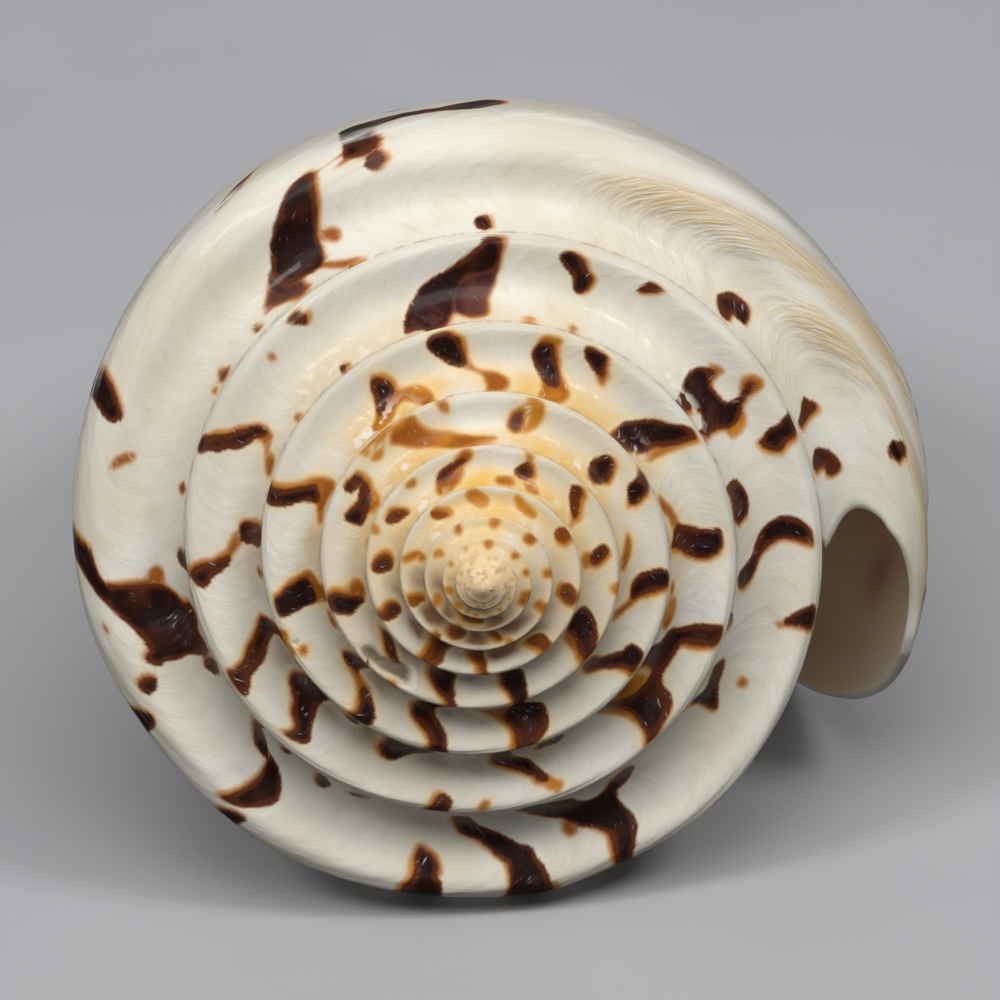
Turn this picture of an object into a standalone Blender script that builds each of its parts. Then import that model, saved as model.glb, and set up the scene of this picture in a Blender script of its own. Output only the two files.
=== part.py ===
"""A cone shell lying on its mouth, as it comes to rest on a table.

The shell is one grown piece: a single sheet rolled up round a straight axis.
It is built in the animal's own way. A section, running from the suture over the
ramp and the shoulder and down the side, is carried back round the axis from the
outer lip, and shrinks as it goes. Turns are counted backwards from the lip, so
turn 0 is at the lip and turn 10 is at the tip of the spire.

The mouth is the slit between the outer lip and the side of the turn before. It
leads to the hollow of the last turn, which narrows to a closed end inside.
Metres, +Z up.
"""

import math

import bmesh
import bpy
import numpy as np
from mathutils import Matrix

# The growth of the shoulder, whose radius shrinks by about a quarter each turn.
LIP_RADIUS = 0.02253
SHRINK_PER_TURN = 0.2689
SHRINK_GAIN = 0.007
TURNS = 10

# The last turn grew unevenly: each entry is a place, a width and a gain in radius.
UNEVEN_GROWTH = (
    (0.80, 0.15, 0.016),
    (0.46, 0.15, 0.022),
    (0.22, 0.13, -0.014),
    (-0.08, 0.10, -0.024),
)

# Heights along the axis, with the tip of the spire at zero.
SHELL_LENGTH = 0.0620
SPIRE_SLOPE = 0.645
SPIRE_EASE = 5.49

# The section of a whorl.
OLD_SWELL = 0.002
LIP_SWELL = 0.018
OLD_ROUNDING = 0.034
LIP_ROUNDING = 0.110
ROUNDING_TURNS = (0.25, 1.00)
LEAST_ROUNDING = 0.3
SHOULDER_START_DEG = 80.0
RAMP_FOOT_SLOPE = -0.50
RAMP_EDGE_SLOPE = -0.12
SIDE_EASE = 0.15
CORNER_DEPTH = 0.025

# The front end, where the sheet is rolled tightest.
TIP_RADIUS = 0.0070
TIP_SHRINK = 1.10

# The wall, thin at the lip and thicker inside, and how far in the hollow goes.
LIP_WALL = 0.0008
BODY_WALL = 0.0015
WALL_TURNS = 0.06
HOLLOW_TURNS = 0.70

# The growth line, which is also the outline of the lip: how far it runs ahead
# of the suture. 0 is the suture, 1 the shoulder and 2 the front end.
LIP_OUTLINE = (
    (0.00, 0.0),
    (0.22, -6.5),
    (0.50, -4.0),
    (0.80, 6.0),
    (1.00, 18.0),
    (1.07, 24.0),
    (1.22, 32.0),
    (1.45, 36.0),
    (1.72, 35.0),
    (1.92, 27.0),
    (2.00, 14.0),
)

# How finely the solid is divided.
STEPS_PER_TURN = 40
RAMP_ROWS = 4
ROUND_ROWS = 2
SIDE_ROWS = 10
SHOULDER_LEAD_STEPS = 2

# How the shell lies: turned about its axis until the mouth is down, then laid
# with the spire to the front and raised by the taper of its side.
REST_ROLL_DEG = -6.6
REST_PITCH_DEG = 17.3

# How deep the side and the lip are rubbed flat where the shell lies.
RUBBED_FLAT = 0.00025

# Porcelain-like ground colour.
IVORY = (0.80, 0.74, 0.63, 1.0)
GLOSS_ROUGHNESS = 0.25

STEP = 1.0 / STEPS_PER_TURN
SUTURE_SHIFT = STEPS_PER_TURN + SHOULDER_LEAD_STEPS
SHOULDER_ROW = RAMP_ROWS + ROUND_ROWS
CORNER_ROW = SHOULDER_ROW + 1
LAST_ROW = SHOULDER_ROW + SIDE_ROWS


def smooth_step(low, high, value):
    share = np.clip((value - low) / (high - low), 0.0, 1.0)
    return share * share * (3.0 - 2.0 * share)


def smooth_curve(points, where):
    """A curve through the points with no corners, read at each place in `where`."""
    xs, ys = np.array(points).T
    slopes = np.gradient(ys, xs)
    index = np.clip(np.searchsorted(xs, where, side="right") - 1, 0, len(xs) - 2)
    width = xs[index + 1] - xs[index]
    share = (where - xs[index]) / width
    start = (1 + 2 * share) * (1 - share) ** 2 * ys[index]
    start += share * (1 - share) ** 2 * width * slopes[index]
    end = share**2 * (3 - 2 * share) * ys[index + 1]
    end += share**2 * (share - 1) * width * slopes[index + 1]
    return start + end


def even_radius(turn):
    return LIP_RADIUS * np.exp(-SHRINK_PER_TURN * turn - SHRINK_GAIN * turn**2)


def shoulder_radius(turn):
    gain = 0.0
    for place, width, amount in UNEVEN_GROWTH:
        gain = gain + amount * np.exp(-(((turn - place) / width) ** 2))
    return even_radius(turn) * (1 + gain)


def shoulder_height(turn):
    radius = even_radius(turn)
    return -SPIRE_SLOPE * radius + SPIRE_EASE * radius**2


def from_lip_to_old(lip_value, old_value, turn):
    """A share of the radius that changes over the last turn."""
    return lip_value + (old_value - lip_value) * smooth_step(*ROUNDING_TURNS, turn)


def wall(turn):
    return BODY_WALL + (LIP_WALL - BODY_WALL) * np.exp(-np.maximum(turn, 0.0) / WALL_TURNS)


def shoulder_arc(turn, inset):
    """Centre and radius of the rounding between the ramp and the side."""
    radius = shoulder_radius(turn)
    side = radius * (1 + from_lip_to_old(LIP_SWELL, OLD_SWELL, turn)) - inset
    outer_rounding = radius * from_lip_to_old(LIP_ROUNDING, OLD_ROUNDING, turn)
    rounding = np.maximum(outer_rounding - inset, LEAST_ROUNDING * outer_rounding)
    top = shoulder_height(turn) - inset
    return side - rounding, top - rounding * math.sin(math.radians(SHOULDER_START_DEG)), rounding


def side_point(turn, inset, depth):
    """Radius and height down the side; depth is 0 under the shoulder and 1 at the end."""
    centre, height, rounding = shoulder_arc(turn, inset)
    top_radius = centre + rounding
    end_radius = TIP_RADIUS * np.exp(-TIP_SHRINK * turn) - inset
    eased = depth - SIDE_EASE * (1 - np.exp(-depth / SIDE_EASE))
    full = 1 - SIDE_EASE * (1 - math.exp(-1 / SIDE_EASE))
    radius = top_radius + (end_radius - top_radius) * eased / full
    return radius, height + (-SHELL_LENGTH - height) * depth


def ramp_point(foot, edge, share):
    """A hollow ramp from its foot at the suture out to the edge of the shoulder."""
    width = edge[0] - foot[0]
    radius = foot[0] + width * share
    height = (1 + 2 * share) * (1 - share) ** 2 * foot[1]
    height += share * (1 - share) ** 2 * width * RAMP_FOOT_SLOPE
    height += share**2 * (3 - 2 * share) * edge[1]
    height += share**2 * (share - 1) * width * RAMP_EDGE_SLOPE
    return radius, height


def section_point(row, turn, inner):
    """Radius and height of a row of the section, `turn` turns back from the lip."""
    inset = wall(turn) if inner else 0.0 * turn
    if row > SHOULDER_ROW:
        return side_point(turn, inset, side_depth(row))
    centre, height, rounding = shoulder_arc(turn, inset)
    start = math.radians(SHOULDER_START_DEG)
    if row >= RAMP_ROWS:
        angle = start * (1 - (row - RAMP_ROWS) / ROUND_ROWS)
        return centre + rounding * math.cos(angle), height + rounding * math.sin(angle)
    edge = centre + rounding * math.cos(start), height + rounding * math.sin(start)
    foot = side_point(turn + 1, 0.0 * turn, CORNER_DEPTH if inner else 0.0)
    return ramp_point(foot, edge, row / RAMP_ROWS)


def side_depth(row):
    """The first row below the shoulder is the inner corner of the mouth."""
    share = (row - CORNER_ROW) / (SIDE_ROWS - 1)
    return CORNER_DEPTH + (1 - CORNER_DEPTH) * share


def lead(row):
    """How far the growth line runs ahead of the suture at this row, in turns."""
    if row in (SHOULDER_ROW, CORNER_ROW):
        return SHOULDER_LEAD_STEPS * STEP
    place = row / SHOULDER_ROW if row < SHOULDER_ROW else 1 + side_depth(row)
    return float(smooth_curve(LIP_OUTLINE, place)) / 360


def column(row, steps, inner=False):
    """Points of one row, at each of the steps back from the lip."""
    turn = np.asarray(steps) * STEP - lead(row)
    radius, height = section_point(row, turn, inner)
    angle = 2 * math.pi * turn
    return np.column_stack([radius * np.cos(angle), radius * np.sin(angle), height])


class ShellMesh:
    """Collects points and faces, naming each point by its sheet, row and step."""

    def __init__(self):
        self.points = []
        self.index = {}
        self.faces = []

    def add_row(self, sheet, row, steps):
        for step, point in zip(steps, column(row, steps, sheet == "inner")):
            self.index[sheet, row, step] = len(self.points)
            self.points.append(point)

    def same(self, first, second):
        """One point under two names, where two turns of the sheet are joined."""
        self.index[first] = self.index[second]

    def face(self, *names):
        corners = [self.index[name] for name in names]
        corners = [corner for n, corner in enumerate(corners) if corner != corners[n - 1]]
        if len(corners) > 2:
            self.faces.append(corners)

    def patch(self, sheet, row, steps, flip):
        """One strip of quads between a row and the next."""
        for step in steps:
            quad = [
                (sheet, row, step),
                (sheet, row, step + 1),
                (sheet, row + 1, step + 1),
                (sheet, row + 1, step),
            ]
            self.face(*(quad[::-1] if flip else quad))


def build_shell():
    mesh = ShellMesh()
    last_step = TURNS * STEPS_PER_TURN
    hollow = round(HOLLOW_TURNS * STEPS_PER_TURN)
    side_end = SUTURE_SHIFT + hollow
    add_points(mesh, last_step, hollow, side_end)
    for row in range(SHOULDER_ROW):
        mesh.patch("outer", row, range(last_step), flip=False)
    mesh.patch("outer", SHOULDER_ROW, range(SUTURE_SHIFT), flip=False)
    for row in range(CORNER_ROW, LAST_ROW):
        mesh.patch("outer", row, range(side_end), flip=False)
    for row in range(LAST_ROW):
        mesh.patch("inner", row, range(hollow), flip=True)
    add_lip(mesh)
    add_hollow_end(mesh, hollow, side_end)
    add_front_end(mesh, hollow, side_end)
    add_spire_tip(mesh, last_step)
    return mesh


def add_points(mesh, last_step, hollow, side_end):
    for row in range(1, SHOULDER_ROW + 1):
        mesh.add_row("outer", row, range(last_step + 1))
    free_start = last_step - SUTURE_SHIFT + 1
    mesh.add_row("outer", 0, range(free_start, last_step + 1))
    for step in range(free_start):
        mesh.same(("outer", 0, step), ("outer", SHOULDER_ROW, step + SUTURE_SHIFT))
    for row in range(CORNER_ROW, LAST_ROW + 1):
        mesh.add_row("outer", row, range(side_end + 1))
    for row in range(1, LAST_ROW + 1):
        mesh.add_row("inner", row, range(hollow + 1))
    for step in range(hollow + 1):
        mesh.same(("inner", 0, step), ("outer", CORNER_ROW, step + SUTURE_SHIFT))


def add_lip(mesh):
    for row in range(LAST_ROW):
        mesh.face(
            ("outer", row, 0),
            ("outer", row + 1, 0),
            ("inner", row + 1, 0),
            ("inner", row, 0),
        )


def add_hollow_end(mesh, hollow, side_end):
    """Closes the hollow, between the last section of its roof and of its floor."""
    roof = [("inner", row, hollow) for row in range(LAST_ROW + 1)]
    floor = [("outer", row, side_end) for row in range(CORNER_ROW, LAST_ROW + 1)]
    for row in range(CORNER_ROW):
        mesh.face(floor[0], roof[row], roof[row + 1])
    for row in range(len(floor) - 1):
        mesh.face(
            floor[row],
            roof[CORNER_ROW + row],
            roof[CORNER_ROW + row + 1],
            floor[row + 1],
        )


def add_front_end(mesh, hollow, side_end):
    outer = [("outer", LAST_ROW, step) for step in range(side_end + 1)]
    inner = [("inner", LAST_ROW, step) for step in range(hollow, -1, -1)]
    mesh.face(*outer[::-1], *inner[::-1])


def add_spire_tip(mesh, last_step):
    rim = [("outer", 0, step) for step in range(last_step - SUTURE_SHIFT, last_step + 1)]
    rim += [("outer", row, last_step) for row in range(1, SHOULDER_ROW)]
    rim = [mesh.index[name] for name in rim]
    mesh.points.append(np.zeros(3))
    top = len(mesh.points) - 1
    for n, corner in enumerate(rim):
        mesh.faces.append([corner, rim[(n + 1) % len(rim)], top])


def rest_matrix():
    """Mouth down and spire to the front, raised so that the side lies on the table."""
    roll = Matrix.Rotation(math.radians(REST_ROLL_DEG), 4, "Z")
    lay = Matrix.Rotation(math.radians(90 - REST_PITCH_DEG), 4, "X")
    return lay @ roll


def lay_on_table(mesh):
    """Turns the mesh to its rest, with the middle of its footprint at the origin.

    The points that touch first are rubbed down to the table, which gives the shell
    a small flat to rest on.
    """
    mesh.transform(rest_matrix())
    corners = np.array([vertex.co for vertex in mesh.vertices])
    low, high = corners.min(axis=0), corners.max(axis=0)
    middle = (low + high) / 2
    drop = -low[2] - RUBBED_FLAT
    mesh.transform(Matrix.Translation((-middle[0], -middle[1], drop)))
    for vertex in mesh.vertices:
        vertex.co.z = max(vertex.co.z, 0.0)


def porcelain():
    material = bpy.data.materials.new("ivory porcelain")
    material.use_nodes = True
    shader = material.node_tree.nodes["Principled BSDF"]
    shader.inputs["Base Color"].default_value = IVORY
    shader.inputs["Roughness"].default_value = GLOSS_ROUGHNESS
    shader.inputs["Metallic"].default_value = 0.0
    material.diffuse_color = IVORY
    return material


def close_and_triangulate(mesh):
    """Splits every face into triangles and points all of them outwards."""
    work = bmesh.new()
    work.from_mesh(mesh)
    bmesh.ops.triangulate(work, faces=work.faces)
    bmesh.ops.recalc_face_normals(work, faces=work.faces)
    work.to_mesh(mesh)
    work.free()


def clear_scene():
    for item in list(bpy.data.objects):
        bpy.data.objects.remove(item, do_unlink=True)


def main():
    clear_scene()
    shape = build_shell()
    mesh = bpy.data.meshes.new("shell")
    mesh.from_pydata([tuple(point) for point in shape.points], [], shape.faces)
    close_and_triangulate(mesh)
    lay_on_table(mesh)
    mesh.materials.append(porcelain())
    mesh.shade_smooth()
    shell = bpy.data.objects.new("shell", mesh)
    bpy.context.scene.collection.objects.link(shell)


if __name__ == "__main__":
    main()
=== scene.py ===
"""A cone shell of ivory porcelain with dark brown flames, lying on its mouth.

The frame gives the shell's place and its solid. The shell itself is grown again
here, far finer, by the growth law of the animal: a section is carried round a
straight axis and shrinks as it goes. Two numbers name every place on it. `turn`
counts turns back from the outer lip, and `across` runs over the section: 0 is the
suture, 1 the shoulder and 2 the front end. The sheet grows along a leaning line, so
the turn at which a place was grown has a name of its own, `growth`.

The file is laid out as an add-on, with one operator for the shell and one for the
stage. Metres, +Z up.
"""

import math

import bpy
import numpy as np
from bpy.props import FloatProperty, FloatVectorProperty, PointerProperty
from mathutils import Matrix, Vector


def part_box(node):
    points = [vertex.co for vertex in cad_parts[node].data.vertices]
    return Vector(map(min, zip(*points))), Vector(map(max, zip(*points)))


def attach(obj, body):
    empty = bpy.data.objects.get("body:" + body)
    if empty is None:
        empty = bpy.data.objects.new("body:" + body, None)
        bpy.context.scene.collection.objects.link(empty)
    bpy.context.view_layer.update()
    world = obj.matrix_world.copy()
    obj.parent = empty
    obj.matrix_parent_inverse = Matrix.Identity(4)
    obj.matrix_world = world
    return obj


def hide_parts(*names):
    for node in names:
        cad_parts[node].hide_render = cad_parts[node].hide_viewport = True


bl_info = {
    "name": "Cone Shell",
    "version": (1, 0, 0),
    "blender": (4, 5, 0),
    "location": "View3D > Sidebar > Cone Shell",
    "description": "Grows a glossy cone shell with dark flames and lays it on a table",
    "category": "Add Mesh",
}

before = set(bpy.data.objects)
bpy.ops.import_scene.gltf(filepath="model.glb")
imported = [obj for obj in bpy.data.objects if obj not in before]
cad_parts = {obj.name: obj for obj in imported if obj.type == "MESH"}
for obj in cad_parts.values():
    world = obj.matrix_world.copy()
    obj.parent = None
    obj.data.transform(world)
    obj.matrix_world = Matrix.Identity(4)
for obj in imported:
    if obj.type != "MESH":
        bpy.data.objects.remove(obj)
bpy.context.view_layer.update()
MM = 0.001
FULL_TURN = 2 * math.pi
TINY = 1e-9

# The growth of the shoulder, whose radius shrinks by about a quarter each turn.
SHRINK_PER_TURN = 0.2689
SHRINK_GAIN = 0.007
TURNS = 10

# The last turn grew unevenly: each entry is a place, a width and a gain in radius.
UNEVEN_GROWTH = (
    (0.87, 0.045, 0.014),
    (0.80, 0.15, 0.016),
    (0.785, 0.022, 0.014),
    (0.725, 0.060, 0.012),
    (0.655, 0.046, 0.014),
    (0.540, 0.045, 0.014),
    (0.46, 0.15, 0.022),
    (0.355, 0.030, 0.006),
    (0.285, 0.030, -0.006),
    (0.22, 0.13, -0.014),
    (0.175, 0.025, -0.006),
    (0.105, 0.035, -0.008),
    (-0.08, 0.10, -0.024),
    (-0.075, 0.030, 0.022),
)

# Heights along the axis, with the tip of the spire at zero.
SPIRE_SLOPE = 0.645
SPIRE_EASE = 5.49

# How far the side bulges past the shoulder, and the size of the rounding between
# them, as shares of the radius. Both are greater by the lip than on old turns.
OLD_SWELL = 0.002
LIP_SWELL = 0.018
OLD_ROUNDING = 0.034
LIP_ROUNDING = 0.110
ROUNDING_TURNS = (0.25, 1.00)
LEAST_ROUNDING = 0.3
SHOULDER_START = math.radians(80.0)

# The hollow ramp: its slopes, how much of `across` it takes up to the shoulder, and
# its width as a share of the radius. Old turns are worn shallow, the oldest flush.
RAMP_FOOT_SLOPE = -2.10
OLD_FOOT_SLOPE = -1.00
RAMP_EDGE_SLOPE = 0.02
WORN_TURNS = (4.5, 8.0)
FLUSH_TURNS = (7.3, 8.7)
RAMP_SHARE = 2 / 3
RAMP_WIDTH = 0.24

# How soon the side runs straight, and how far down it the hollow's roof is joined.
SIDE_EASE = 0.15
CORNER_DEPTH = 0.025

# The front end, where the sheet is rolled tightest, and its rounded rim.
TIP_RADIUS = 0.0070
TIP_SHRINK = 1.10
END_ROUNDING = 0.00035
END_SHARE = 0.01

# The wall thickens inwards from the lip, and the hollow ends inside.
BODY_WALL = 0.0011
WALL_TURNS = 0.10
HOLLOW_TURNS = 0.70

# The growth line, which is also the outline of the lip: how far it runs ahead
# of the suture, in degrees.
LIP_OUTLINE = (
    (0.00, 0.0),
    (0.26, -5.6),
    (0.50, -5.2),
    (0.67, -2.2),
    (0.80, 3.0),
    (1.00, 16.0),
    (1.07, 23.0),
    (1.22, 32.0),
    (1.45, 36.0),
    (1.72, 35.0),
    (1.92, 27.0),
    (2.00, 14.0),
)

# How the shell lies: rolled about its axis, then raised by the taper of its side.
REST_ROLL = math.radians(-6.6)
REST_PITCH = math.radians(17.3)

# How finely the sheet is divided. Each row counts from the suture outwards.
STEPS_PER_TURN = 480
STEP = 1 / STEPS_PER_TURN
SHOULDER_ROW = 24
CORNER_ROW = 28
FINE_SIDE_ROW = 52
LAST_ROW = 96
FINE_SIDE = 0.22
END_ROWS = 4
RIM_ROW = LAST_ROW + END_ROWS
LIP_ROWS = 4
SHOULDER_LEAD_STEPS = 24
SUTURE_SHIFT = STEPS_PER_TURN + SHOULDER_LEAD_STEPS
LAST_STEP = TURNS * STEPS_PER_TURN
HOLLOW_STEPS = round(HOLLOW_TURNS * STEPS_PER_TURN)
SIDE_STEPS = SUTURE_SHIFT + HOLLOW_STEPS

# The small old turns and the hidden inside need fewer points: each entry is the
# last step of a stretch, and how many steps and rows one face spans there.
STRIDES = {
    "ramp": ((1440, 1), (2880, 2), (LAST_STEP, 4)),
    "side": ((SUTURE_SHIFT + 16, 1), (SUTURE_SHIFT + 64, 2), (SIDE_STEPS, 4)),
    "inner": ((16, 1), (64, 2), (HOLLOW_STEPS, 4)),
}

# The blunt cap over the first turn.
TIP_RINGS = 4
TIP_BLUNTNESS = 1.4
TIP_ACROSS = 0.5

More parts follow.
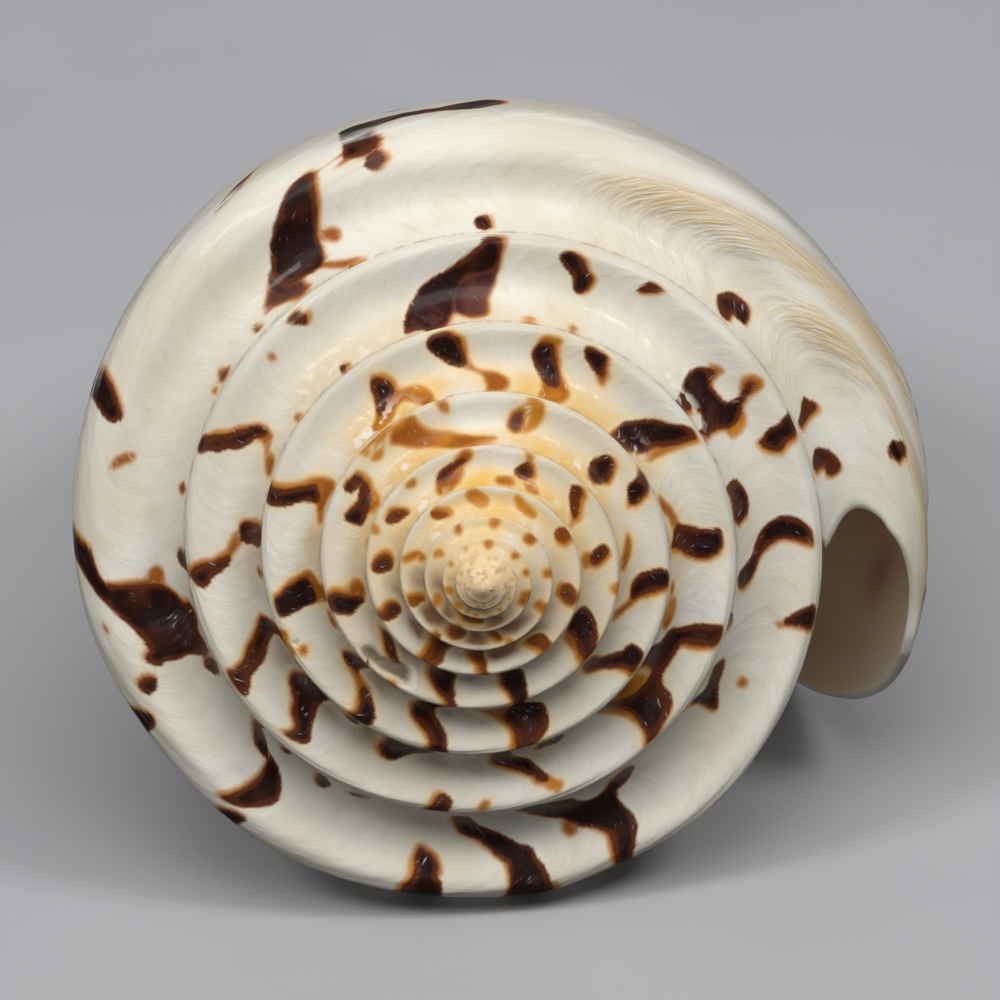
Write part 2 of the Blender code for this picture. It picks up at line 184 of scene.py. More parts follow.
# Patches of colour, by the whole turn on which they grew. Each is an outline, with
# two numbers for each corner: thousandths of a turn further back, and hundredths of
# the way across.
DARK_PATCHES = {
    0: (
        (1003.5, 69, 1010, 67, 1015, 60, 1018, 50, 1018.5, 40, 1016, 30, 1011, 22, 1004, 17,
         997, 13, 994, 8, 990, 3, 984, 1, 979, 4, 978, 8, 982, 13, 988, 18, 997, 22, 1001, 26,
         1004, 33, 1006, 42, 1005.5, 55, 1004, 62),
        (974, 80, 969, 90, 963, 90, 962, 75, 962, 65, 961, 55, 960, 48, 963, 48, 967, 54, 971, 62,
         973.5, 70),
        (976, 103, 962, 105, 948, 111, 936, 116, 936, 118, 948, 117, 960, 111, 974, 106),
        (999, 108, 990, 111, 978, 116, 973, 122, 981, 122, 990, 118, 998, 112),
        (885, 118, 879, 119, 880, 121, 885, 120),
        (934, 10, 928, 13, 918, 15, 910, 21, 905, 26, 902.5, 25, 903, 12, 901, 5, 897, 0, 903, 1,
         910, 7, 920, 5, 928, 3, 931, 5),
        (962, 3, 957, 4, 952, 2, 953, 0, 961, 0),
        (816.5, 102, 816.5, 75, 819, 60, 819.5, 50, 815, 42, 807, 36, 803, 28, 798, 22, 790, 17,
         782, 8, 776, 2, 786, 1, 796, 3, 804, 5, 810, 9, 812, 15, 818, 18, 826, 16, 830, 13,
         836, 7, 843, 5, 848, 4, 849.5, 8, 845, 14, 840, 18, 832, 20, 831, 30, 832, 38, 834, 45,
         833.5, 55, 830, 62, 826, 75, 824.5, 90, 824, 102, 828, 115, 822, 114, 816, 110, 800, 114,
         780, 119, 762, 122, 762, 119, 780, 115, 800, 111),
        (787, 62, 787.5, 90, 786, 104, 782, 110, 777, 113, 765, 115, 755, 118, 745, 121, 745, 117,
         755, 113, 767, 110, 768.5, 103, 766.5, 95, 767, 80, 769, 65, 769.5, 50, 764, 43, 760, 37,
         755, 30, 746, 26, 742, 18, 740, 10, 740, 6, 750, 6, 753, 14, 758, 20, 766, 25, 772, 32,
         777.5, 38, 781, 38, 783, 47, 786, 55),
        (739, 109, 732, 112, 727, 108, 722, 102, 721.5, 75, 723.5, 68, 726, 60, 725, 45, 726.5, 38,
         730, 42, 733, 45, 736, 52, 736, 60, 739, 67, 739.5, 95),
        (672, 10, 669, 17, 665, 17, 661, 8, 660, 3, 665, 4, 670, 8),
        (642, 3, 640, 7, 636, 6, 635, 1),
        (694, 4, 690, 8, 682, 9, 683, 5),
        (667, 115, 663, 119, 655, 119, 650, 110, 638, 105, 650, 107, 660, 112),
        (652, 104, 640, 102, 637.5, 95, 637.5, 83, 641, 77, 649, 72, 648, 80, 647.5, 95),
        (632, 75, 636, 74, 643, 67, 650, 57, 654.5, 48, 654, 40, 650, 31, 645, 24, 639, 19,
         636.5, 20, 638, 28, 640, 40, 638, 55, 635, 66),
        (636, 24, 630, 23, 624, 18, 619, 11, 614, 5, 611, 0, 618, 0, 622, 6, 628, 11, 635, 17),
        (602, 106, 598, 107, 590, 105, 584, 102, 581, 95, 584, 82, 585, 74, 590, 73, 593, 79,
         594, 90, 595.5, 100),
        (596.5, 113, 592, 115, 587, 111, 583, 109, 590, 109),
        (579, 66, 575, 71, 572, 69, 570.5, 60, 573, 53, 577, 57),
        (570, 48, 568, 50, 564, 57, 560, 48, 552, 52, 545, 57, 540, 63, 533, 72, 527, 78, 520, 85,
         515, 93, 516, 102, 520, 107, 530, 110, 545, 113, 560, 117, 575, 120, 555, 120, 545, 116,
         535, 113, 520, 112, 510, 106, 504, 100, 502, 95, 508, 87, 510, 77, 512, 74, 520, 72,
         526.5, 68, 528, 55, 529, 35, 531, 20, 535, 14, 540, 8, 538, 3, 548, 1, 556, 5, 563, 2,
         570, 4, 570.5, 10, 569, 20, 570, 32, 568, 42),
        (583, 8, 577, 15, 573, 10, 570, 3, 573, 0, 578, 2, 583, 5),
        (520, 0, 518, 6, 512, 8, 509, 5, 508, 0),
        (478, 120, 468, 120, 458, 114, 450, 107, 443, 102, 440, 95, 440.5, 87, 443, 78, 449, 70,
         453.5, 65, 457.5, 70, 456.5, 78, 453, 86, 452, 98, 456, 106, 465, 113),
        (389, 6, 383, 9, 379, 5, 383, 3),
        (366, 92, 364, 99, 355, 103, 343, 107, 350, 103, 358, 96),
        (322.5, 82, 330, 81, 336, 77, 343, 68, 350, 57, 355, 47, 358, 35, 361, 28, 360, 13,
         350, 11, 336, 10, 334, 30, 331, 42, 328, 55, 326.5, 67, 324.5, 75),
        (309.5, 102, 309, 90, 311, 81, 300, 80, 303, 75, 300, 71, 297, 72, 293, 77, 298, 81,
         295, 87, 296, 92, 299, 95, 299, 101, 290, 103, 270, 103, 255, 102, 245, 106, 250, 110,
         270, 105, 285, 106, 305, 106, 311, 104),
        (259, 6, 257, 12, 252, 12, 250.5, 3, 255, 2),
        (134, 12, 132, 20, 128, 25, 120, 25, 116, 20, 113.5, 10, 120, 10, 123.5, 11, 122, 3,
         126, 2, 131, 6),
        (66, 24, 62.5, 24, 62, 17, 60, 5, 58, 1, 62, 3, 65.5, 10, 69.5, 14, 70, 17, 67, 18),
        (47, 10, 44, 16, 41, 22, 36, 27, 32.5, 26, 31, 18, 33, 13, 36, 12, 38, 15, 37.5, 10,
         36.5, 4, 36, 1, 40, 2, 44, 5),
        (40.5, 75.5, 38, 81, 33, 80.5, 30.5, 75, 33, 70.5, 38, 70.5),
        (-20, 93, -20, 99, -27.5, 99, -28, 95, -24, 93),
        (18, 117, 15, 120, 12, 118, 14, 116),
    ),
    1: (
        (254, 88, 255.5, 80, 255.5, 70, 258, 65, 261.7, 60, 269.7, 50, 275, 45, 283, 40, 291, 35,
         293.5, 30, 297, 25, 302, 20, 304.5, 15, 307, 10, 309, 2, 300, 3, 292, 0, 279, 0, 277, 4,
         273, 12, 272, 24, 264, 33, 252, 36, 247, 42, 245.7, 50, 245, 65, 245.5, 85),
        (213.5, 66, 210, 70, 206, 66, 201, 62, 199, 56, 194, 50, 193, 42, 194.5, 34, 198, 30,
         202, 34, 203.5, 42, 207, 48, 212, 54, 214.5, 60),
        (167, 69, 160, 69, 158, 66, 162, 60, 166, 56, 169.5, 54, 169, 58, 167.5, 63),
        (106, 40, 110, 40, 113, 36, 116.5, 28, 116.5, 20, 115, 12, 112, 4, 110, 0, 100, 0, 101, 7,
         95, 10, 90, 8, 84, 0, 78, 0, 80, 8, 78, 16, 75, 22, 77, 30, 80, 37, 84, 42, 86.5, 50,
         89, 58, 91, 64, 93, 62, 93.5, 56, 90, 48, 89, 40, 89, 30, 96, 28.5, 103, 28.5, 106, 34),
        (71, 100, 69, 80, 68.5, 70, 66.5, 60, 65.5, 50, 62, 42, 59.5, 39, 55, 46, 53, 55, 56, 62,
         57.5, 68, 58, 80, 61, 88, 66, 100),
        (48, 6, 46, 11, 41, 14, 36, 15.5, 29, 15.5, 23, 13, 21, 8, 19, 2, 22, 0, 30, 1, 40, 2,
         45, 0),
        (626, 66, 634, 65, 641, 61, 643.5, 56, 642.5, 50, 639, 44, 636.5, 35, 633, 25, 630, 15,
         629.5, 5, 631, 1, 620, 0, 606, 0, 601, 5, 600, 12, 602, 18, 606, 23, 612, 27, 618, 33,
         621.5, 40, 624, 45, 627, 46, 630, 49, 632, 54, 630, 60),
        (660, 7, 655, 8, 649, 6, 646, 3, 648, 1, 658, 1),
        (596.5, 78, 598, 68, 595, 60, 590, 54, 588, 46, 586, 36, 582, 28, 577, 22, 571, 15, 567, 9,
         568, 3, 583, 1, 575, 0, 563, 0, 558, 4, 553, 10, 553.5, 13, 559, 18, 564, 24, 569, 34,
         574, 44, 579, 52, 580.5, 62, 580, 70, 579, 78),
        (527.5, 69, 529, 65, 530, 60, 528, 55, 524.5, 52, 522, 42, 518, 34, 513, 30, 510.5, 32,
         513, 42, 515.5, 50, 515, 58, 516, 64, 516.5, 69, 519, 80, 518, 98, 522, 98, 524, 80),
        (500, 20, 502, 12, 501, 5, 503, 2, 495, 0, 483, 0, 486, 5, 485.5, 10, 487, 17, 490, 21.5,
         496, 21),
        (528, 2, 524, 4, 520, 5.5, 517, 3, 518, 0),
        (451, 78, 449, 65, 449, 56, 446, 48, 445, 40, 441, 33, 437, 29, 432, 27, 430, 22, 427, 18,
         424, 18, 424, 28, 427, 33, 431, 37, 433, 43, 436, 50, 439, 58, 440, 64, 442.5, 68,
         445, 78),
        (366, 63, 356.5, 63, 357, 60, 358.5, 56, 360.5, 54, 361.5, 58),
        (359, 1, 357, 7, 354, 4, 354, 0),
        (956, 78, 957, 70, 955.3, 60, 953.8, 50, 951, 40, 948, 32, 945.5, 25, 944, 17, 939.5, 12,
         930, 10, 927, 0, 908, 0, 909, 10, 907.5, 17, 898, 20, 885, 19, 877, 14, 871, 6, 868, 2,
         859, 1, 861, 6, 865, 13, 869, 22, 870.5, 32, 871, 42, 870.5, 52, 869, 60, 866, 66,
         865, 74, 867, 79, 873.6, 74, 881.2, 66, 890, 62, 896.5, 57, 899.3, 50, 900.3, 40, 904, 35,
         908, 31, 920, 31, 934.5, 32, 935.7, 40, 937.2, 50, 939.4, 60, 941.6, 70, 943.3, 77,
         950, 80),
        (799, 52, 794, 50, 792, 42, 787, 38, 781, 32, 775, 26, 768, 21, 764, 16, 764.5, 8,
         763.5, 1, 775, 0, 779, 4, 778, 12, 785, 16, 791, 21, 793, 28, 796, 38, 799.5, 45),
        (824.5, 5, 819, 10, 812, 12, 806, 10, 801, 13, 797, 10, 801, 4, 812, 1, 822, 2),
        (739, 62, 737, 56, 733, 53, 729, 55, 727, 64, 725.5, 75, 723, 90, 724, 100, 738, 100,
         736.5, 80, 738.5, 70),
        (722, 2, 716, 8, 708, 11, 704, 16, 700, 22, 697, 29, 691, 31.5, 686, 29, 682, 22, 682, 14,
         684, 7, 682.5, 2, 695, 3, 710, 2),
    ),
    2: (
        (465, 100, 465, 85, 467, 70, 466, 58, 465, 50, 462, 40, 457.5, 30, 454.5, 20, 453, 12,
         444, 12, 438, 20, 441.5, 30, 446, 40, 450, 50, 452.5, 60, 453.5, 70, 453, 85, 452, 100),
        (342, 52, 346, 48, 347.8, 40, 349, 30, 352, 20, 355, 12, 348, 12, 340, 18, 332, 22,
         330.5, 30, 333, 40, 337, 49),
        (292, 78, 293, 68, 295.5, 60, 293.5, 50, 288, 40, 282.5, 32, 278, 27, 272, 24, 267, 28,
         268.5, 36, 270, 50, 271, 60, 277, 66, 278, 78),
        (214, 58, 217, 50, 217.5, 40, 214.5, 30, 208, 21, 200, 12, 190, 12, 188, 20, 194, 30,
         199, 42, 202.5, 52, 204, 58),
        (183, 76, 184, 68, 182, 60, 179.5, 54, 174, 49, 169, 44, 162.5, 42, 160, 47, 164, 55,
         165.5, 62, 167, 70, 168, 78),
        (93, 80, 95, 70, 99.5, 60, 106, 50, 114, 40, 120, 30, 124.5, 20, 126.5, 12, 110, 10,
         100, 16, 93, 28, 89, 38, 87, 50, 85.5, 60, 84, 70, 85, 80),
        (20, 61, 22.5, 57, 21.5, 50, 22.5, 40, 23.5, 30, 27, 20, 31, 12, 26, 8, 18, 5, 14, 0,
         12, 6, 8, 13, 3, 20, 0, 30, 0, 42, 3, 52, 6.5, 58, 12, 61),
        (991, 90, 994, 80, 997, 70, 998, 60, 995.5, 50, 993.5, 40, 990.5, 30, 985, 22, 975, 19,
         966, 20, 962.5, 26, 968, 34, 972, 42, 975, 50, 979, 60, 981.5, 70, 983, 80, 986, 90),
        (915, 77, 919.5, 70, 921.5, 60, 922, 50, 919, 44, 910, 41, 907, 34, 900, 30, 895, 32,
         891, 38, 896, 46, 899, 54, 901, 62, 901.5, 75),
        (798, 100, 799, 80, 805, 66, 811, 60, 816.5, 50, 818, 40, 819, 30, 818.5, 18, 812, 12,
         806, 6, 799, 0, 790, 0, 786, 8, 778, 14, 776, 24, 780, 34, 783.5, 44, 785, 52, 784.5, 60,
         783.5, 75, 784, 100),
        (731, 100, 730.5, 80, 729, 65, 727.5, 52, 723, 42, 717, 32, 711, 22, 707, 12, 712, 5,
         725, 0, 700, 0, 690, 3, 688, 12, 688, 22, 692, 32, 701, 42, 710, 52, 714.5, 62, 714, 80,
         713, 100),
        (662, 100, 663.5, 80, 665, 68, 664.5, 58, 661, 50, 655, 41, 647, 32, 640, 30, 639, 36,
         643.5, 44, 648, 52, 650, 60, 649, 70, 648, 85, 647, 100),
        (629, 23, 626, 18, 625.5, 10, 629, 0, 610, 0, 604, 8, 601, 16, 608, 22, 616, 24, 622, 22),
        (552, 72, 554.5, 64, 554, 50, 553, 40, 551, 30, 549, 18, 545, 12, 532, 14, 524, 20,
         526, 30, 530, 40, 533.5, 50, 537, 60, 538, 66, 544, 72),
    ),
    3: (
        (421.5, 66, 425, 62, 426.5, 55, 424, 48, 418, 44, 413, 48, 408, 42, 404.5, 45, 403.5, 52,
         405.5, 60, 409, 62, 413, 60, 417, 65),
        (453, 46, 455, 40, 456, 32, 456.5, 20, 453, 12, 440, 11, 425, 12, 414, 18, 409, 26,
         404.5, 34, 404, 42, 409, 44, 417, 41, 427, 35, 434, 36, 441, 41, 447, 45),
        (116, 52, 121, 48, 124.5, 40, 126.5, 30, 125.5, 22, 118, 18, 108, 17, 101, 20, 98.5, 27,
         101, 33, 106, 40, 110, 48),
        (88, 80, 86.5, 70, 85.5, 58, 85.5, 48, 81, 42, 74, 37, 67, 35, 63, 40, 63.5, 48, 67, 58,
         70, 68, 74.5, 80),
        (904, 100, 905, 80, 910, 70, 922, 61, 932, 51, 937.5, 41, 942, 30, 944.5, 20, 943, 12,
         934, 10, 920, 14, 908, 12, 903, 22, 897, 35, 890, 50, 887, 60, 886, 70, 885, 80,
         884, 100),
        (809, 100, 809, 75, 811, 58, 813, 42, 815, 30, 816, 15, 812, 5, 800, 0, 780, 0, 778, 8,
         782, 18, 782, 30, 784.5, 42, 788.5, 56, 791, 70, 792, 100),
        (730, 100, 730.5, 80, 729, 65, 724.5, 58, 726, 52, 724, 42, 720.5, 32, 720.5, 20, 722, 10,
         715, 2, 700, 0, 675, 0, 682, 8, 685, 18, 688, 28, 695, 40, 703, 50, 711, 58, 717, 62,
         718.5, 80, 718, 100),
        (650, 38, 640, 28, 632, 18, 625, 10, 615, 4, 600, 0, 592, 5, 600, 12, 612, 22, 622, 30,
         632, 36),
        (625, 100, 624, 80, 620, 65, 610, 66, 609, 80, 609, 100),
        (553, 72, 560, 65, 562, 58, 565, 50, 565.5, 42, 560, 30, 555, 20, 550, 11, 547, 14,
         547, 24, 544, 34, 541, 44, 538, 54, 537, 64, 544, 70),
    ),
    4: (
        (507, 60, 511, 50, 510, 40, 507, 28, 500, 16, 488, 14, 479, 22, 478, 32, 481, 42, 488, 52,
         497, 60),
        (428, 53, 432, 46, 428, 36, 420, 28, 410, 22, 400, 17, 394.5, 18, 396, 26, 401, 34,
         406, 42, 412, 49, 420, 53),
        (284, 56, 296, 52, 310, 50, 322, 44, 330, 34, 332, 24, 322, 24, 310, 24, 300, 34, 290, 42,
         276, 50),
        (194, 55, 201, 46, 206, 36, 209, 28, 200, 20, 188, 20, 178, 28, 182, 38, 188, 48),
        (119, 68, 128, 60, 126, 52, 122, 46, 119, 40, 112, 32, 104, 24, 95, 18, 87, 16, 85, 22,
         91, 32, 100, 42, 107, 50, 109, 56, 113, 64),
        (30, 60, 37, 52, 36, 40, 31, 28, 25, 19, 16, 18, 11, 26, 12, 36, 18, 48, 24, 57),
        (973, 68, 980, 58, 986, 48, 988, 36, 986, 26, 975, 20, 962, 20, 955, 30, 951, 42, 949, 54,
         951, 66, 960, 72),
        (872, 74, 877, 66, 877, 56, 879, 46, 878, 34, 873, 26, 862, 20, 850, 18, 843, 26, 847, 38,
         853, 50, 857, 60, 856, 72),
        (772, 100, 769, 75, 761, 62, 765, 50, 763, 40, 758, 28, 757, 15, 757, 2, 725, 0, 729, 12,
         736, 22, 742, 32, 749, 42, 753, 52, 752, 65, 755, 80, 756, 100),
        (683, 100, 685, 75, 687, 62, 692, 52, 689, 38, 687, 25, 690, 12, 697, 0, 648, 0, 655, 10,
         661, 22, 661, 38, 662.5, 50, 661, 62, 659, 75, 666, 100),
        (583, 70, 587, 62, 586, 50, 586, 40, 583, 26, 577, 17, 565, 17, 560, 26, 560, 38, 564, 50,
         570, 58, 571, 68, 569, 85, 578, 80),
    ),
    5: (
        (566, 70, 577, 60, 576, 45, 571, 30, 570, 14, 560, 10, 555, 20, 552, 35, 549, 48, 549, 60,
         556, 70),
        (88, 100, 90, 75, 96, 60, 94, 45, 88, 36, 75, 35, 66, 45, 67, 60, 70, 75, 73, 100),
        (362, 65, 370, 55, 367, 42, 358, 30, 345, 23, 334, 26, 338, 38, 349, 50, 354, 60),
        (805, 52, 800, 30, 795, 10, 785, 0, 770, 0, 775, 12, 785, 30, 792, 48),
        (690, 52, 705, 40, 712, 20, 705, 0, 665, 0, 672, 15, 672, 32, 680, 45),
        (664, 100, 662, 75, 658, 55, 652, 60, 650, 80, 648, 100),
    ),
    6: (
        (755, 35, 735, 30, 700, 28, 680, 20, 660, 5, 640, 0, 755, 0, 765, 15),
    ),
}
AMBER_PATCHES = {
    0: (
        (960, 50, 957, 47, 960, 42, 962, 45),
        (926, 36, 922, 37, 921, 32, 925, 31),
        (903, 115, 899, 117, 900, 119, 904, 117),
        (806, 40, 800, 42, 797, 34, 800, 25, 805, 30),
        (789, 70, 790, 85, 789, 100, 785, 100, 785, 70),
        (738, 60, 736, 45, 729, 36, 724, 36, 723, 55, 730, 65),
        (565, 108, 560, 112, 556, 110, 559, 107),
        (549, 74, 546, 78, 543, 76, 545, 73),
        (529, 35, 523, 30, 521, 24, 524, 20, 530, 20),
        (477, 66, 471, 63, 467, 52, 467, 45, 471, 46, 473, 55),
        (424, 6, 420, 7, 418, 3, 422, 1),
        (337, 13, 331, 9, 322, 5, 314, 2, 316, -1, 325, 1, 336, 7),
        (333, 32, 330, 36, 325, 35, 322, 28, 324, 21, 328, 21),
        (315, 82, 313, 84, 309, 80, 311, 77),
    ),
    1: (
        (900, 16, 900, 5, 892, 1, 873, 0, 852, 2, 855, 8, 861, 18, 866, 30, 868, 42, 870, 60,
         880, 25, 890, 20),
        (971, 6, 967, 10, 958, 11.5, 948, 11, 943, 8, 946, 4, 955, 2, 966, 3),
        (985, 6, 975, 6, 970, 2, 982, 1),
        (808, 57, 806, 62, 802.5, 66, 803, 60, 800, 60, 797, 52, 799, 47, 802, 52, 804.5, 55),
        (762, 62, 758, 76, 754, 76, 754.5, 66, 757.5, 59),
        (516, 36, 511, 28, 505, 23, 500, 18, 495, 24, 500, 28, 506, 32, 511, 37),
        (432, 27, 431, 18, 437, 12, 443, 10, 430, 12, 424, 14, 422.5, 20, 424, 28),
        (452, 2, 447, 8, 440, 10, 434, 8, 436, 3, 444, 1),
        (389, 58, 387, 60, 384.5, 59, 384, 54, 386, 51, 388.5, 53),
        (405, 5, 401, 6, 399, 2, 404, 1),
        (227, 3, 222, 4, 217, 1, 226, 0),
        (197, 5, 194, 6, 190, 1, 196, 0),
        (104.5, 46, 109, 45, 114, 40, 110, 36, 105, 38),
        (89, 80, 95.5, 66, 96.5, 55, 92, 46, 84, 48, 86.5, 62),
        (83, 42, 75, 36, 70.5, 28, 70.5, 20, 76, 18, 78, 28),
        (62, 42, 60, 37.5, 57, 42, 60, 46),
    ),
    2: (
        (454.5, 24, 453, 13, 460, 10, 468, 7, 466, 2, 450, 4, 438, 3, 425, 0, 427, 10, 429, 18,
         436, 30, 445, 42, 446, 30),
        (341, 56, 336, 50, 330, 38, 329, 24, 320, 21, 310, 18, 304, 12, 300, 4, 298, 0, 310, 0,
         318, 6, 326, 12, 336, 10, 345, 2, 372, 0, 362, 8, 356, 12, 350, 24, 348.5, 35),
        (276, 30, 268, 22, 262, 19, 254, 15, 252, 5, 253.5, 0, 236, 0, 231, 6, 233, 12, 240, 17,
         247, 19, 256, 20, 262, 24, 267, 34),
        (210, 67, 214.5, 62, 214.5, 55, 203, 55, 201, 60, 201.5, 66),
        (206, 22, 201, 10, 203, 0, 185, 0, 179, 8, 179.5, 14, 185, 21, 192, 31, 198, 45, 196, 30),
        (168, 45, 162, 38, 158.5, 36, 158.5, 44, 161, 50),
        (87.5, 58, 85, 45, 86.5, 25, 90, 10, 95, 10, 92, 25, 89, 45),
        (28, 14, 40, 12, 50, 9, 60, 4, 58, 0, 45, 1, 40, 6, 30, 8),
        (970, 32, 964, 34, 958, 28, 952, 20, 945, 12, 938, 5, 940, 1, 952, 2, 956, 10, 962, 18,
         972, 20),
        (785, 50, 775, 32, 766, 20, 755, 10, 745, 4, 770, 2, 790, 5),
        (691, 33, 686, 25, 683, 14, 684, 8, 690, 8),
        (652, 38, 643, 28, 634, 24, 628, 20, 615, 22, 612, 24, 628, 28, 634, 34, 641, 42),
        (588, 63, 585, 64, 581, 60, 582, 53, 587, 55),
        (585, 100, 584, 80, 581, 74, 577, 82, 576, 100),
        (572, 100, 571, 80, 565, 72, 563, 85, 563, 100),
        (535.5, 62, 531.5, 50, 527, 38, 521, 26, 517, 17, 519.5, 11, 530, 6, 527.5, 0, 545, 0,
         547, 10, 549, 20, 530, 20),
        (575, 5, 566, 8, 556, 6, 553, 1, 572, 1),
        (1037, 16, 1030, 20, 1020, 18, 1008, 13, 1000, 8, 999, 2, 1012, 1, 1020, 8, 1032, 12),
    ),
    3: (
        (404, 44, 401, 36, 405, 24, 409, 14, 413, 5, 430, 3, 430, 10, 412, 16, 408, 28),
        (483, 2, 474, 5, 463, 4, 462, 0),
        (338, 74, 346, 70, 352.5, 60, 355.5, 50, 350, 40, 344.5, 30, 337, 22, 325, 16, 310, 10,
         295, 2, 265, 0, 240, 2, 238, 8, 255, 10, 275, 14, 290, 20, 305, 28, 313.5, 36, 319, 45,
         322.5, 55, 324, 68, 330, 75),
        (372, 100, 370, 80, 362, 62, 355, 70, 350, 85, 349, 100),
        (385, 100, 384, 80, 381, 62, 377, 75, 375, 100),
        (297, 100, 298, 85, 295, 62, 291, 55, 289, 65, 290, 85, 290, 100),
        (380, 52, 375, 54, 370, 51, 374, 47, 379, 48),
        (212, 80, 210, 70, 206, 60, 207, 50, 205, 35, 208, 20, 198, 30, 194, 45, 196, 60, 200, 72,
         204, 80),
        (73, 40, 69, 33, 63, 31, 60, 38, 62, 48, 66, 45),
        (889, 60, 886, 50, 887, 35, 892, 20, 900, 8, 907, 10, 902, 25, 895, 40),
        (665, 100, 662, 75, 655, 66, 648, 75, 648, 100),
        (548, 14, 538, 8, 529, 9, 524, 14, 526, 22, 533, 30, 541, 34, 546, 28),
        (985, 100, 984, 70, 981, 62, 975, 64, 974, 80, 975, 100),
    ),
    4: (
        (371, 62, 371, 57, 366, 50, 360, 47, 356, 53, 356, 60, 361, 63),
        (450, 65, 447, 60, 442, 64, 442, 85, 448, 85),
        (282, 85, 288, 70, 292, 58, 290, 50, 280, 48, 272, 50, 269, 60, 273, 75, 276, 85),
        (332, 26, 337, 14, 332, 6, 315, 6, 300, 10, 288, 22, 285, 36, 300, 36),
        (199, 85, 197, 60, 190, 56, 190, 65, 192, 75, 195, 88),
        (235, 14, 215, 16, 205, 14, 205, 4, 230, 4),
        (180, 16, 165, 14, 160, 6, 180, 5),
        (98, 22, 90, 14, 86, 2, 78, 4, 82, 14, 83, 26, 90, 34),
        (30, 22, 30, 4, 10, 4, 9, 20),
        (976, 100, 974, 75, 953, 70, 955, 85, 958, 100),
        (990, 25, 980, 12, 960, 10, 955, 22),
    ),
    5: (
        (939, 100, 942, 65, 942, 48, 938, 35, 925, 30, 921, 45, 917, 60, 918, 80, 921, 100),
        (825, 100, 822, 70, 815, 55, 810, 70, 811, 100),
        (472, 68, 478, 58, 470, 45, 462, 32, 455, 24, 444, 22, 446, 34, 455, 48, 463, 60),
        (463, 20, 455, 2, 445, 4, 446, 20),
        (276, 70, 284, 58, 278, 45, 270, 32, 258, 24, 248, 26, 250, 38, 260, 50, 268, 64),
        (193, 60, 192, 48, 184, 38, 172, 28, 155, 27, 142, 32, 145, 38, 160, 42, 172, 47, 184, 55),
    ),
    6: (
        (975, 100, 972, 60, 965, 40, 955, 22, 940, 30, 938, 50, 940, 70, 945, 100),
        (592, 75, 588, 55, 578, 38, 562, 28, 558, 38, 570, 55, 580, 75),
        (690, 100, 690, 70, 680, 60, 672, 75, 670, 100),
        (422, 62, 436, 52, 436, 42, 425, 30, 412, 16, 402, 28, 404, 42, 410, 55),
        (328, 100, 330, 75, 338, 50, 335, 36, 322, 34, 316, 50, 315, 75, 318, 100),
        (230, 90, 235, 60, 236, 40, 226, 32, 214, 38, 212, 60, 220, 85),
        (125, 100, 128, 75, 132, 50, 125, 38, 110, 38, 103, 50, 107, 75, 110, 100),
        (22, 100, 26, 60, 25, 42, 12, 40, 4, 50, 6, 80, 8, 100),
    ),
}
VIOLET_PATCHES = {
    0: (
        (361, 30, 366, 22, 369, 17, 377, 9, 370, 7, 362, 5, 355, 0, 345, 2, 350, 10, 360, 13),
        (417, 2, 414, 9, 410, 9, 404, 1),
        (480, 5, 477, 7, 473, 5, 475, 1),
    ),
    1: (
        (247, 42, 247.5, 35, 247.8, 30, 250.6, 20, 251, 15, 252, 5, 262, 3, 270, 6, 273, 12,
         272, 28, 262, 36),
        (452.5, 84, 451, 74, 443, 74, 444, 84, 446.5, 98, 450, 98),
        (368.5, 74, 366, 68, 361, 65.5, 358, 70, 357.5, 78, 362, 80),
    ),
    2: (
        (125, 20, 127, 10, 133, 0, 110, 0, 98, 8, 95, 20),
        (905, 36, 901, 26, 895, 16, 893, 5, 880, 3, 873, 12, 872, 20, 878, 28, 886, 35, 894, 42),
    ),
    3: (
        (215, 56, 222, 46, 225, 34, 226, 24, 219, 18, 213, 22, 211, 34, 213, 48),
        (122, 20, 120, 10, 108, 8, 101, 18),
        (94, 100, 92, 85, 86, 72, 72, 72, 78, 85, 83, 100),
        (944.5, 18, 945, 8, 935, 1, 915, 1, 905, 8, 907, 20, 915, 38, 925, 40, 935, 30),
        (556, 100, 554, 74, 540, 72, 541, 85, 543, 100),
    ),
}
WORN_PATCHES = {
    2: (
        (580, 65, 574, 66, 573, 56, 578, 54),
    ),
    3: (
        (677, 62, 672, 50, 668, 36, 660, 28, 650, 26, 640, 30, 625, 38, 615, 42, 605, 45, 602, 55,
         604, 64, 630, 65, 655, 62),
    ),
}

# Flames down the side, which carry on from the marks on the shoulder: where each
# grew, in turns from the lip, and its half width in mm. Each is broken into bands
# across the sheet, and each band takes one of the three sets of widths in turn.
SIDE_FLAMES = (
    (0.985, 0.88),
    (0.905, 1.31),
    (0.825, 1.05),
    (0.770, 1.40),
    (0.695, 1.14),
    (0.640, 0.88),
    (0.560, 1.49),
    (0.500, 0.79),
    (0.430, 1.22),
    (0.355, 1.05),
    (0.290, 1.40),
    (0.215, 0.96),
    (0.135, 1.22),
    (0.050, 0.96),
)
SIDE_BANDS = ((1.16, 1.31), (1.40, 1.58), (1.64, 1.80), (1.86, 1.96))
FLAME_WIDTHS = (
    (0.45, 0.85, 1.00, 0.95, 0.80, 0.35),
    (0.40, 0.70, 0.85, 1.10, 1.20, 0.50),
    (0.60, 1.20, 1.05, 0.70, 0.50, 0.30),
)
FLAME_PLACES = 12
FLAME_SHIFT = 0.010
BAND_SHIFT = 0.035
EDGE_WAVES = 0.5

# Small spots on the oldest turns: how many, the first one's turn, and their spacing
# and half sizes in turns and across.
OLD_SPOTS = 16
FIRST_SPOT = 6.93
SPOT_SPACING = 0.1
SPOT_SIZE = (0.018, 0.26)

